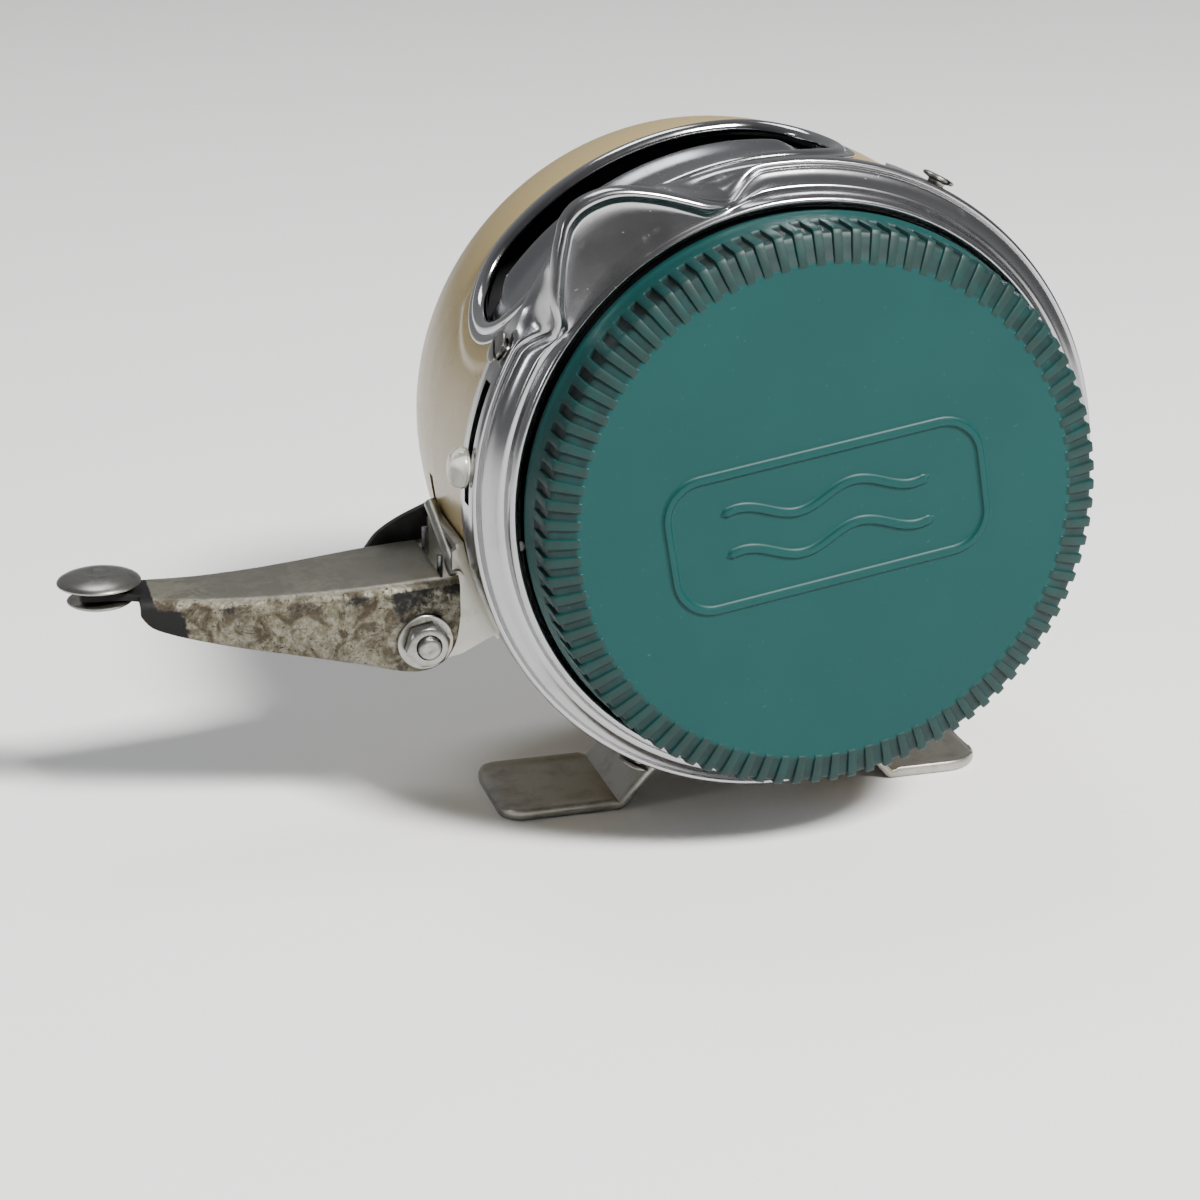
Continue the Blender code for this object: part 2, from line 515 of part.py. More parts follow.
def build_trigger():
    px, pz = PIVOT
    stations = [-77.6, -76.9, -75.8, -72.0, -66.0, -59.0, -51.0, -45.5, -43.0, -41.0, -39.6, -39.0]
    rings, t = [], 0.9
    for x in stations:
        top, low, half = lerp(x, LEVER_TOP), lerp(x, LEVER_LOW), lerp(x, LEVER_HALF)
        c = 31.5
        ring = [(c - half, low), (c - half, top - 1.1), (c - half + 0.35, top - 0.35), (c - half + 1.1, top),
                (c + half - 1.1, top), (c + half - 0.35, top - 0.35), (c + half, top - 1.1), (c + half, low),
                (c + half - t, low), (c + half - t, top - 1.15), (c + half - 1.2, top - t),
                (c - half + 1.2, top - t), (c - half + t, top - 1.15), (c - half + t, low)]
        rings.append([(x, y, z) for y, z in ring])
    lever = add("trigger_lever", *loft(rings), NICKEL, (px, 31.5, pz))
    tongue = [(-77.0, -12.5), (-79.0, -11.9), (-84.4, -11.6), (-84.4, -12.5), (-79.0, -12.75),
              (-77.0, -13.25)]
    fuse(lever, add("tongue", *prism(tongue, 28.6, 34.4), NICKEL))
    gap = [(-41.2, -10.0), (-41.2, -14.6), (-37.0, -14.6), (-37.0, -10.0)]
    cut(lever, add("end_gap", *prism(gap, LEVER_Y0 + 0.95, LEVER_Y1 - 0.95), NICKEL))
    cut(lever, add("hole", *lathe_z([(0, -15), (1.5, -15), (1.5, -9), (0, -9)], 12, (-82.0, 31.5)), NICKEL),
        add("hole", *prism(disc_points(px, pz, 2.35, 16), 20, 44), NICKEL))

    # two domed discs riveted through the tongue
    top = [(0.0, -9.75), (1.0, -9.8), (2.6, -9.9), (4.2, -10.25), (5.1, -10.8), (5.1, -11.1), (4.8, -11.3),
           (1.2, -11.3), (1.2, -13.2), (0.0, -13.2)]
    add("trigger_button_top", *lathe_z(top, 24, (-82.0, 31.5)), STEEL)
    low = [(0.0, -14.2), (1.9, -14.1), (3.2, -13.8), (4.0, -13.4), (4.0, -13.2), (3.7, -13.0), (1.5, -13.0),
           (1.5, -13.55), (0.0, -13.55)]
    add("trigger_button_bottom", *lathe_z(low, 24, (-82.0, 31.5)), STEEL)

    # pivot bolt with a round head at the back and a hex nut at the front
    bolt = [(0.0, 19.6), (1.1, 19.6), (1.45, 20.0), (1.45, 22.0), (2.0, 22.4), (2.0, 42.1), (3.6, 42.1),
            (3.6, 43.2), (2.9, 43.8), (0.0, 43.9)]
    add("pivot_bolt", *lathe_y(bolt, 16, PIVOT), STEEL, (px, 31.5, pz))
    nut = add("pivot_nut", *loft([[(x, y, z) for x, z in disc_points(px, pz, r, 6, 12)]
                                  for r, y in ((2.5, 20.3), (2.85, 20.6), (2.85, 22.1))]), STEEL)
    cut(nut, add("bore", *prism(disc_points(px, pz, 1.75, 16), 19, 24), STEEL))
    add("nut_washer", *lathe_y([(2.35, 22.3), (3.5, 22.3), (3.5, 22.75), (2.35, 22.75)], 18, PIVOT), STEEL)

    # torsion spring round the bolt, both tails up beside the stop bar
    coil = []
    turns, steps = 5, 12
    coil += [(-40.55, 27.3, -10.2), (-40.6, 27.3, -14.0)]
    for i in range(turns * steps + 1):
        a = 2 * math.pi * i / steps
        coil.append((px + 3.1 * math.cos(a), 27.3 + 8.4 * i / (turns * steps), pz + 3.1 * math.sin(a)))
    coil += [(-40.6, 35.7, -14.0), (-40.55, 35.7, -9.2)]
    add("return_spring", *tube(coil, 0.38, 5), SPRING, (px, 31.5, pz))

    # bracket: curved base on the cover, two ears and a slanted stop bar
    base_r = COVER_R + GAP
    bracket = add("hinge_bracket", *arc_band(base_r, base_r + 1.0, 24.3, 38.7, 191.5, 211.5, 8), SATIN)
    ear = [polar(base_r + 0.3, a, 0) for a in (192.0, 198.0, 204.0, 210.5)]
    ear = [(p[0], p[2]) for p in ear]
    ear += [(-38.6, -22.3), (-41.0, -22.7)] + [(px + 3.5 * math.cos(math.radians(a)),
                                                 pz + 3.5 * math.sin(math.radians(a)))
                                                for a in (255, 225, 195, 165, 135, 105)]
    ear += [(-40.8, -15.6), (-39.7, -13.6), (-39.6, -8.9)]
    for y0 in (24.3, 37.7):
        fuse(bracket, add("ear", *prism(ear, y0, y0 + 1.0), SATIN))
    bar = []
    for y, z in ((24.25, -11.9), (24.9, -11.4), (37.9, -7.2), (38.5, -7.1)):
        w = 0.45 if y in (24.25, 38.5) else 0.8
        x0, x1 = -39.15 - w, -39.15 + w
        bar.append([(x0, y, z - w), (x0, y, z + w), (x1, y, z + w), (x1, y, z - w)])
    fuse(bracket, add("bar", *loft(bar), SATIN))
    cut(bracket, add("hole", *prism(disc_points(px, pz, 2.35, 16), 23, 40), SATIN))
    for k, (a, y) in enumerate(BRACKET_RIVETS, 1):
        cut(bracket, add("hole", *radial_pin(a, y, [(1.25, 37.0), (1.25, 42.0)], 10), SATIN))
        add(f"bracket_rivet_{k}", *radial_pin(a, y, [(0.95, 38.0), (0.95, 40.3), (1.9, 40.3), (1.9, 40.7),
                                                     (1.3, 41.1)], 10),
            SATIN)


def build_brake():
    px, pz = PIVOT
    boss = [(px + 3.7 * math.cos(math.radians(a)), pz + 3.7 * math.sin(math.radians(a)))
            for a in (190, 220, 250, 280, 310, 340)]
    inner = [polar(34.95, a, 0) for a in (197.0, 193.5, 190.0)]
    outline = boss + [(-38.4, -16.6), (-36.6, -12.6)] + [(p[0], p[2]) for p in inner]
    outline += [(-36.0, -6.3), (-38.4, -7.5), (-43.0, -9.5), (-45.8, -11.3), (-47.5, -13.4)]
    arm = add("brake_arm", *prism(outline, ARM_Y0, ARM_Y1), BLACK, (px, 31.5, pz))
    cut(arm, add("hole", *prism(disc_points(px, pz, 2.35, 16), 39, 43), BLACK))
    add("brake_shoe", *arc_band(34.75, 35.9, 33.9, ARM_Y0 - 0.3, 190.4, 196.6, 4), RUBBER, (px, 31.5, pz))


# ---------------------------------------------------------------- slide, pawl
PAWL_PIN = (polar(35.0, 186.0, 0)[0], polar(35.0, 186.0, 0)[2])


def build_slide_and_pawl():
    slide = add("release_slide", *arc_band(37.0, 37.9, 14.4, 17.2, BUTTON_A - 3.6, BUTTON_A + 3.6, 4), STEEL)
    fuse(slide, add("finger", *arc_band(35.4, 37.4, 14.4, 15.4, BUTTON_A + 2.0, BUTTON_A + 3.4, 2), STEEL))
    cut(slide, add("hole", *radial_pin(BUTTON_A, SLOT_Y, [(1.1, 36.0), (1.1, 39.0)], 10), STEEL))
    dome = [(0.8, 37.2), (0.8, 40.0), (2.4, 40.0), (2.55, 40.5), (2.4, 41.25), (1.7, 41.85), (0.7, 42.15)]
    add("release_button", *radial_pin(BUTTON_A, SLOT_Y, dome, 16), CLEAR)

    cx, cz = PAWL_PIN
    tip = polar(35.1, 196.6, 0)
    tail = polar(35.4, 181.5, 0)
    outline = [(cx + 1.35 * math.cos(math.radians(a)), cz + 1.35 * math.sin(math.radians(a)))
               for a in (120, 150, 180, 210, 240)]
    outline += [(tip[0] - 0.8, tip[2] + 0.5), (tip[0] - 0.2, tip[2] - 0.5), (tip[0] + 0.35, tip[2] + 0.1)]
    outline += [(cx + 1.3, cz - 0.6), (cx + 1.25, cz + 0.5), (tail[0] + 0.75, tail[2] - 0.1),
                (tail[0] - 0.2, tail[2] + 0.5)]
    pawl = add("ratchet_pawl", *prism(outline, 12.0, 13.4), STEEL, (cx, 12.7, cz))
    cut(pawl, add("hole", *prism(disc_points(cx, cz, 0.95, 10), 11, 14), STEEL))
    add("pawl_pin", *lathe_y([(0.0, 9.05), (0.6, 9.05), (0.6, 13.7), (1.15, 13.7), (1.15, 14.1), (0.0, 14.1)],
                             10, PAWL_PIN), STEEL)
    leaf = [polar(36.3, a, 0) for a in (188.0, 191.0, 194.0, 197.5)]
    path = [(p[0], 13.75, p[2]) for p in leaf]
    add("pawl_spring", *tube(path, 0.22, 6), SPRING)


# ---------------------------------------------------------------- drive train
def build_drive():
    # barrel: ratchet disc, drive hub and cup that the mainspring sits in
    teeth = []
    count = 36
    for k in range(count):
        a = 360.0 * k / count
        teeth += [(33.9, a), (32.6, a + 0.6), (33.2, a + 5.0)]
    ring = [polar(r, a, 0) for r, a in teeth]
    disc = [(p[0], p[2]) for p in ring]
    barrel = add("spring_barrel", *prism(disc, BARREL_Y0, BARREL_Y0 + 1.8), SATIN, (0, 0, 0))
    cup = [(5.0, 10.9), (BARREL_R, 10.95), (BARREL_R, BARREL_Y1), (BARREL_R - 0.8, BARREL_Y1),
           (BARREL_R - 0.8, 12.6), (5.0, 12.6)]
    fuse(barrel, add("cup", *lathe_y(cup, 48), SATIN),
         add("hub", *prism(disc_points(0, 0, 7.6, 6), 2.8, 12.0), SATIN))
    cut(barrel, add("bore", *prism(disc_points(0, 0, 3.35, 24), 0, 14), SATIN))

    # mainspring: flat strip coiled from the arbor to the barrel wall
    turns, steps = 4.5, 22
    inner, outer = 8.0, BARREL_R - 1.6
    total = int(turns * steps)
    rings = []
    for i in range(total + 1):
        f = i / total
        a, r = 360.0 * turns * f, inner + (outer - inner) * f ** 0.85
        rings.append([polar(r, a, 13.6), polar(r + 0.5, a, 13.6), polar(r + 0.5, a, 30.6), polar(r, a, 30.6)])
    add("mainspring", *loft(rings), SPRING, (0, 0, 0))

    arbor = [(3.35, 13.0), (6.6, 13.0), (6.6, 31.0), (6.9, 31.2), (6.9, SPOOL_Y0 - 0.4),
             (3.35, SPOOL_Y0 - 0.4)]
    add("spring_arbor", *lathe_y(arbor, 28), STEEL, (0, 0, 0))
    spool = [(5.2, SPOOL_Y0), (HUB_R, SPOOL_Y0), (SPOOL_R - 0.4, SPOOL_Y0), (SPOOL_R, SPOOL_Y0 + 0.3),
             (SPOOL_R, SPOOL_Y0 + 0.9), (SPOOL_R - 0.4, SPOOL_Y0 + 1.2), (HUB_R, SPOOL_Y0 + 1.2),
             (HUB_R, SPOOL_Y1 - 1.2), (SPOOL_R - 0.4, SPOOL_Y1 - 1.2), (SPOOL_R, SPOOL_Y1 - 0.9),
             (SPOOL_R, SPOOL_Y1 - 0.3), (SPOOL_R - 0.4, SPOOL_Y1), (5.2, SPOOL_Y1)]
    add("spool", *lathe_y(spool, 48), SATIN, (0, 0, 0))
    bush = [(3.35, SPOOL_Y0 + 0.2), (4.9, SPOOL_Y0 + 0.2), (4.9, SPOOL_Y1 - 0.2), (3.35, SPOOL_Y1 - 0.2)]
    add("spool_bushing", *lathe_y(bush, 28), BRASS, (0, 0, 0))
    shaft = [(0.0, 3.4), (2.5, 3.4), (3.0, 3.9), (3.0, COVER_BACK_Y + 0.1),
             (2.6, COVER_BACK_Y + 0.5), (0.0, COVER_BACK_Y + 0.5)]
    add("spindle", *lathe_y(shaft, 24), STEEL, (0, 0, 0))
    clip = [(3.3, SPOOL_Y1 + 0.1), (5.6, SPOOL_Y1 + 0.1), (5.6, SPOOL_Y1 + 0.5), (3.3, SPOOL_Y1 + 0.5)]
    add("spool_clip", *lathe_y(clip, 24), STEEL, (0, 0, 0))
    seat = COVER_BACK_Y - DISH_DEPTH + GAP           # washer stands on the cover's dish
    washer = [(3.3, seat), (6.4, seat), (6.4, seat + 0.4), (3.3, seat + 0.4)]
    add("spindle_washer", *lathe_y(washer, 24), FIBRE, (0, 0, 0))
    nut = add("spindle_nut", *loft([[(x, y, z) for x, z in disc_points(0, 0, r, 6)]
                                    for r, y in ((5.6, seat + 0.7), (5.6, seat + 2.7),
                                                 (5.1, seat + 3.0))]), STEEL)
    cut(nut, add("bore", *prism(disc_points(0, 0, 3.3, 24), seat, seat + 4.0), STEEL))


def build_screws():
    for k, a in enumerate(SCREW_ANGLES, 1):
        steps = [(1.15, 35.9), (1.15, 40.1), (1.95, 40.35), (2.05, 40.6), (1.9, 40.85)]
        screw = add(f"housing_screw_{k}", *radial_pin(a, SCREW_Y, steps, 12), STEEL)
        c, s = math.cos(math.radians(a)), math.sin(math.radians(a))
        corners = []
        for d in (40.5, 41.5):
            corners.append([(d * c - u * s, SCREW_Y + v, d * s + u * c)
                            for u, v in ((-2.4, -0.25), (2.4, -0.25), (2.4, 0.25), (-2.4, 0.25))])
        cut(screw, add("slot", *loft(corners), STEEL))


build_knob()
build_front_housing()
build_rear_cover()
build_drum()
build_line_guard()
build_foot()
build_trigger()
build_brake()
build_slide_and_pawl()
build_drive()
build_screws()
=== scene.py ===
"""Finished look of the upright automatic fly reel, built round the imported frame.

Working coordinates are millimetres from the reel's axis at the knob's crest plane: +Y runs back through
the reel and +Z is up. The frame's knob joint says where that point is in the world. Angles are degrees
in the XZ plane, from +X towards +Z.
"""
import json
import math

import bmesh
import bpy
from mathutils import Matrix, Vector, noise


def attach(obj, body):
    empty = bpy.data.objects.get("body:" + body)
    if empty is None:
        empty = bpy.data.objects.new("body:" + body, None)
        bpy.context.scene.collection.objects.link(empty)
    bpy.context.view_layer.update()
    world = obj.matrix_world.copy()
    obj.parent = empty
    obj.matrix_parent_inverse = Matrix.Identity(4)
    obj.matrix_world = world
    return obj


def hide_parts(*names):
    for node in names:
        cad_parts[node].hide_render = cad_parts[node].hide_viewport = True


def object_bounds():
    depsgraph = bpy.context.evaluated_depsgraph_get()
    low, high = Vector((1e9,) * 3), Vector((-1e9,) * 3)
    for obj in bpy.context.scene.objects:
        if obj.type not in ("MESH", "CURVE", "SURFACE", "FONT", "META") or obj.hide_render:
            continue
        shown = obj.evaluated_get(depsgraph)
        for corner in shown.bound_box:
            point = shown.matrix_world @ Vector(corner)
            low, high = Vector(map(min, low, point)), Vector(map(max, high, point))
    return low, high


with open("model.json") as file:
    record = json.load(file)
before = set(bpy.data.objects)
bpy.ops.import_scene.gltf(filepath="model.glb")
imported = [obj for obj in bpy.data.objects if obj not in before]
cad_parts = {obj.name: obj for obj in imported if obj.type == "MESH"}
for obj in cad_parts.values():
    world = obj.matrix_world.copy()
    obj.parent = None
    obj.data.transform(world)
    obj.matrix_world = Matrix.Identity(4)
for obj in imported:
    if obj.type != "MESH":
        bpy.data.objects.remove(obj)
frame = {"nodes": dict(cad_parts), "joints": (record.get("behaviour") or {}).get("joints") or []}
cad_bounds = [list(corner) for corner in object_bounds()]

MM = 0.001
AXIS = Vector(next(j["pos_m"] for j in frame["joints"] if j["name"] == "knob_wind"))
PIVOT_AT = Vector(next(j["pos_m"] for j in frame["joints"] if j["name"] == "trigger_press")) - AXIS
PIVOT = (PIVOT_AT.x / MM, PIVOT_AT.z / MM)
FLOOR_Z = cad_bounds[0][2]
SEAT_Z = (FLOOR_Z - AXIS.z) / MM


SKIRT_R = 39.7
COVER_R = 38.7
COVER_BACK_Y = 58.4
COVER_SIDE = ((38.7, 38.5), (38.5, 44.0), (38.1, 49.0), (37.6, 52.5), (37.0, 55.3), (35.9, 57.1),
              (34.0, 58.1),
              (30.0, COVER_BACK_Y))
DRUM_R, DRUM_LIP = 37.6, 1.0
GROOVES = 90
GUARD_A, GUARD_Y = 113.5, 27.75
GUARD_HALF_W, GUARD_HALF_A = 10.2, 38.4
SCREW_ANGLES = (62.0, 152.0, 242.0, 332.0)
SCREW_Y = 15.6
BUTTON_A = 173.5
FOOT_Y = 31.5
FOOT_RIVETS = (-6.5, 6.5)
BRACKET_RIVETS = ((199.8, 31.5), (207.6, 31.5))


# ---------------------------------------------------------------- maths
def smooth(t):
    t = max(0.0, min(1.0, t))
    return t * t * (3 - 2 * t)


def polar(r, deg, y):
    a = math.radians(deg)
    return (r * math.cos(a), y, r * math.sin(a))


def lerp(x, pairs):
    for (x0, v0), (x1, v1) in zip(pairs, pairs[1:]):
        if x <= x1:
            return v0 + (v1 - v0) * (x - x0) / (x1 - x0)
    return pairs[-1][1]


def eased(x, pairs):
    for (x0, v0), (x1, v1) in zip(pairs, pairs[1:]):
        if x <= x1:
            return v0 + (v1 - v0) * smooth((x - x0) / (x1 - x0))
    return pairs[-1][1]


def spline(points, per, closed=False):
    """Centripetal-style Catmull-Rom curve through the points, `per` steps a span."""
    pts = [Vector(p) for p in points]
    n = len(pts)
    out = []
    for i in range(n if closed else n - 1):
        p1, p2 = pts[i], pts[(i + 1) % n]
        p0 = pts[i - 1] if (closed or i) else p1 * 2 - p2
        p3 = pts[(i + 2) % n] if (closed or i + 2 < n) else p2 * 2 - p1
        span = (p2 - p1).length
        m1 = (p2 - p0) * (span / max((p2 - p1).length + (p1 - p0).length, 1e-6))
        m2 = (p3 - p1) * (span / max((p2 - p1).length + (p3 - p2).length, 1e-6))
        for k in range(per):
            t = k / per
            t2, t3 = t * t, t * t * t
            out.append(p1 * (2 * t3 - 3 * t2 + 1) + m1 * (t3 - 2 * t2 + t)
                       + p2 * (3 * t2 - 2 * t3) + m2 * (t3 - t2))
    if not closed:
        out.append(pts[-1])
    return [tuple(p) for p in out]


def curve_lookup(pairs):
    fine = spline(pairs, 6)
    return lambda x: lerp(x, fine)


def arc(cx, cy, r, a0, a1, n):
    return [(cx + r * math.cos(math.radians(a0 + (a1 - a0) * k / n)),
             cy + r * math.sin(math.radians(a0 + (a1 - a0) * k / n))) for k in range(n + 1)]


# ---------------------------------------------------------------- meshes
def grid_faces(rows, cols, close_rows, close_cols):
    faces = []
    for i in range(rows if close_rows else rows - 1):
        for j in range(cols if close_cols else cols - 1):
            i2, j2 = (i + 1) % rows, (j + 1) % cols
            faces.append((i * cols + j, i2 * cols + j, i2 * cols + j2, i * cols + j2))
    return faces


def lathe(profile, n, centre=(0.0, 0.0)):
    """Turned about a line parallel to Y; the (r, y) profile is closed unless both ends are on the line."""
    on_axis = profile[0][0] == 0.0 and profile[-1][0] == 0.0
    body = profile[1:-1] if on_axis else profile
    verts = []
    for j in range(n):
        for r, y in body:
            x, _, z = polar(r, 360.0 * j / n, y)
            verts.append((x + centre[0], y, z + centre[1]))
    faces = grid_faces(n, len(body), True, not on_axis)
    if on_axis:
        for end, y in ((0, profile[0][1]), (len(body) - 1, profile[-1][1])):
            tip = len(verts)
            verts.append((centre[0], y, centre[1]))
            faces += [(j * len(body) + end, (j + 1) % n * len(body) + end, tip) for j in range(n)]
    return verts, faces


def lathe_z(profile, n, centre):
    """Turned about a vertical line through centre = (x, y); the profile is (r, z)."""
    verts, faces = lathe(profile, n)
    return [(x + centre[0], z + centre[1], y) for x, y, z in verts], faces


def lathe_radial(profile, n, deg, y0):
    """Turned about a line out from the reel's axis; the profile is (pin radius, distance out)."""
    verts, faces = lathe(profile, n)
    c, s = math.cos(math.radians(deg)), math.sin(math.radians(deg))
    return [(d * c - u * s, y0 + v, d * s + u * c) for u, d, v in verts], faces


def loft(sections, closed=False):
    n = len(sections[0])
    verts = [p for ring in sections for p in ring]
    faces = grid_faces(len(sections), n, closed, True)
    if not closed:
        faces += [list(range(n)), [len(verts) - n + j for j in range(n)]]
    return verts, faces


def prism(points, y0, y1):
    return loft([[(x, y0, z) for x, z in points], [(x, y1, z) for x, z in points]])


def tube(path, radius, sides, flat=1.0):
    """Round wire along a path; flat squeezes it along the side direction."""
    rings = []
    side = None
    for i, p in enumerate(path):
        d = (Vector(path[min(i + 1, len(path) - 1)]) - Vector(path[max(i - 1, 0)])).normalized()
        if side is None:
            side = d.cross(Vector((0.1, 0.3, 1))).normalized()
        side = (side - d * side.dot(d)).normalized()
        up = d.cross(side)
        rings.append([tuple(Vector(p) + radius * (math.cos(2 * math.pi * k / sides) * side * flat
                                                  + math.sin(2 * math.pi * k / sides) * up))
                      for k in range(sides)])
    return loft(rings)


def merge(*parts):
    verts, faces = [], []
    for v, f in parts:
        base = len(verts)
        verts += v
        faces += [[i + base for i in face] for face in f]
    return verts, faces


def shape(name, geometry, mat=None, sharp=32.0):
    """Object with its origin on the reel's axis, from working-millimetre geometry."""
    verts, faces = geometry
    mesh = bpy.data.meshes.new(name)
    mesh.from_pydata([Vector(v) * MM for v in verts], [], faces)
    bm = bmesh.new()
    bm.from_mesh(mesh)
    bmesh.ops.remove_doubles(bm, verts=bm.verts, dist=1e-6)
    bmesh.ops.recalc_face_normals(bm, faces=bm.faces)
    if bm.calc_volume(signed=True) < 0:
        bmesh.ops.reverse_faces(bm, faces=bm.faces)
    bm.to_mesh(mesh)
    bm.free()
    if mat:
        mesh.materials.append(mat)
    obj = bpy.data.objects.new(name, mesh)
    obj.location = AXIS
    bpy.context.scene.collection.objects.link(obj)
    mesh.shade_smooth()
    mesh.set_sharp_from_angle(angle=math.radians(sharp))
    return obj


def apply_modifiers(obj, sharp=32.0):
    dep = bpy.context.evaluated_depsgraph_get()
    mesh = bpy.data.meshes.new_from_object(obj.evaluated_get(dep))
    obj.modifiers.clear()
    old, obj.data = obj.data, mesh
    bpy.data.meshes.remove(old)
    mesh.shade_smooth()
    mesh.set_sharp_from_angle(angle=math.radians(sharp))


def carve(obj, *geometries, operation="DIFFERENCE", sharp=32.0):
    for k, geometry in enumerate(geometries):
        tool = shape(f"{obj.name}_tool_{k}", geometry)
        mod = obj.modifiers.new("carve", "BOOLEAN")
        mod.operation, mod.object, mod.solver = operation, tool, "EXACT"
        apply_modifiers(obj, sharp)
        bpy.data.objects.remove(tool, do_unlink=True)


def soften(obj, width, segments=3, angle=35.0, sharp=50.0):
    """Rounded edges wherever two faces meet at more than `angle`."""
    mod = obj.modifiers.new("soften", "BEVEL")
    mod.width, mod.segments = width * MM, segments
    mod.limit_method, mod.angle_limit = "ANGLE", math.radians(angle)
    mod.use_clamp_overlap = True
    apply_modifiers(obj, sharp)


def paint(obj, name, rule):
    """Stores rule(working position, normal) on each point for the material to read."""
    values = obj.data.attributes.new(name, "FLOAT", "POINT")
    for vertex, item in zip(obj.data.vertices, values.data):
        item.value = rule(vertex.co / MM, vertex.normal)


def settle(obj, body, slot, *nodes):
    """Rides on a body and stands for its frame nodes; slot is not used."""
    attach(obj, body)
    if nodes:
        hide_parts(*nodes)
    return obj


# ---------------------------------------------------------------- material building
class Finish:
    """Principled material on object coordinates in millimetres."""

    def __init__(self, name, colour, metallic=0.0, rough=0.4, **sockets):
        self.mat = bpy.data.materials.new(name)
        self.mat.use_nodes = True
        self.tree = self.mat.node_tree
        self.bsdf = self.tree.nodes["Principled BSDF"]
        self.bsdf.inputs["Base Color"].default_value = (*colour, 1)
        self.bsdf.inputs["Metallic"].default_value = metallic
        self.bsdf.inputs["Roughness"].default_value = rough
        for key, value in sockets.items():
            self.bsdf.inputs[key.replace("_", " ")].default_value = value
        coords = self.node("ShaderNodeTexCoord")
        self.mm = self.math3("MULTIPLY", coords.outputs["Object"], (1 / MM,) * 3)
        self.colour = (*colour, 1)
        self.height = None

    def node(self, kind, **settings):
        made = self.tree.nodes.new(kind)
        for key, value in settings.items():
            setattr(made, key, value)
        return made

    def link(self, a, b):
        if isinstance(a, bpy.types.NodeSocket):
            self.tree.links.new(a, b)
        else:
            b.default_value = a

    def math3(self, operation, a, b):
        made = self.node("ShaderNodeVectorMath", operation=operation)
        self.link(a, made.inputs[0])
        self.link(b, made.inputs[1])
        return made.outputs[0]

    def math(self, operation, a, b=0.0, clamp=False):
        made = self.node("ShaderNodeMath", operation=operation, use_clamp=clamp)
        self.link(a, made.inputs[0])
        self.link(b, made.inputs[1])
        return made.outputs[0]

    def noise(self, scale, detail=4.0, rough=0.55, stretch=(1, 1, 1), where=None, distortion=0.0):
        vector = self.math3("MULTIPLY", where or self.mm, stretch)
        made = self.node("ShaderNodeTexNoise")
        self.link(vector, made.inputs["Vector"])
        for key, value in (("Scale", scale), ("Detail", detail), ("Roughness", rough),
                           ("Distortion", distortion)):
            made.inputs[key].default_value = value
        return made.outputs["Fac"]

    def cells(self, scale, feature="F1"):
        made = self.node("ShaderNodeTexVoronoi", feature=feature)
        self.link(self.mm, made.inputs["Vector"])
        made.inputs["Scale"].default_value = scale
        return made.outputs["Distance"]

    def range(self, value, low, high, out_low=0.0, out_high=1.0):
        made = self.node("ShaderNodeMapRange", interpolation_type="SMOOTHSTEP")
        for key, item in (("Value", value), ("From Min", low), ("From Max", high),
                          ("To Min", out_low), ("To Max", out_high)):
            self.link(item, made.inputs[key])
        return made.outputs["Result"]

    def attribute(self, name):
        return self.node("ShaderNodeAttribute", attribute_name=name).outputs["Fac"]

    def turned(self):
        """(distance from the axis, y, 0): makes any texture run in rings, as a lathe leaves it."""
        split = self.node("ShaderNodeSeparateXYZ")
        self.link(self.mm, split.inputs[0])
        flat = self.node("ShaderNodeCombineXYZ")
        self.link(split.outputs["X"], flat.inputs["X"])
        self.link(split.outputs["Z"], flat.inputs["Y"])
        length = self.node("ShaderNodeVectorMath", operation="LENGTH")
        self.link(flat.outputs[0], length.inputs[0])
        out = self.node("ShaderNodeCombineXYZ")
        self.link(length.outputs["Value"], out.inputs["X"])
        self.link(split.outputs["Y"], out.inputs["Y"])
        return out.outputs[0]

    def tint(self, factor, colour):
        """Mixes another colour over what is there."""
        made = self.node("ShaderNodeMix", data_type="RGBA")
        self.link(factor, made.inputs["Factor"])
        self.link(self.colour, made.inputs[6])
        made.inputs[7].default_value = (*colour, 1)
        self.colour = made.outputs[2]
        self.link(self.colour, self.bsdf.inputs["Base Color"])

    def roughen(self, *terms):
        """Roughness from a base number plus (factor, amount) terms."""
        total = terms[0]
        for factor, amount in terms[1:]:
            total = self.math("ADD", total, self.math("MULTIPLY", factor, amount), clamp=True)
        self.link(total, self.bsdf.inputs["Roughness"])

    def bump(self, height, depth_mm, strength=1.0):
        made = self.node("ShaderNodeBump")
        made.inputs["Strength"].default_value = strength
        made.inputs["Distance"].default_value = depth_mm * MM
        self.link(height, made.inputs["Height"])
        if self.height is not None:
            self.link(self.height, made.inputs["Normal"])
        self.height = made.outputs["Normal"]
        self.link(self.height, self.bsdf.inputs["Normal"])


def scratches(fin, scale, angle, low, high):
    """Fine straight marks: noise drawn out along one direction, kept where it peaks."""
    turn = fin.node("ShaderNodeMapping")
    turn.inputs["Rotation"].default_value = (0.0, math.radians(angle), 0.3)
    fin.link(fin.mm, turn.inputs["Vector"])
    return fin.range(fin.noise(scale, 2.0, 0.5, (0.04, 1, 1), turn.outputs[0]), low, high)


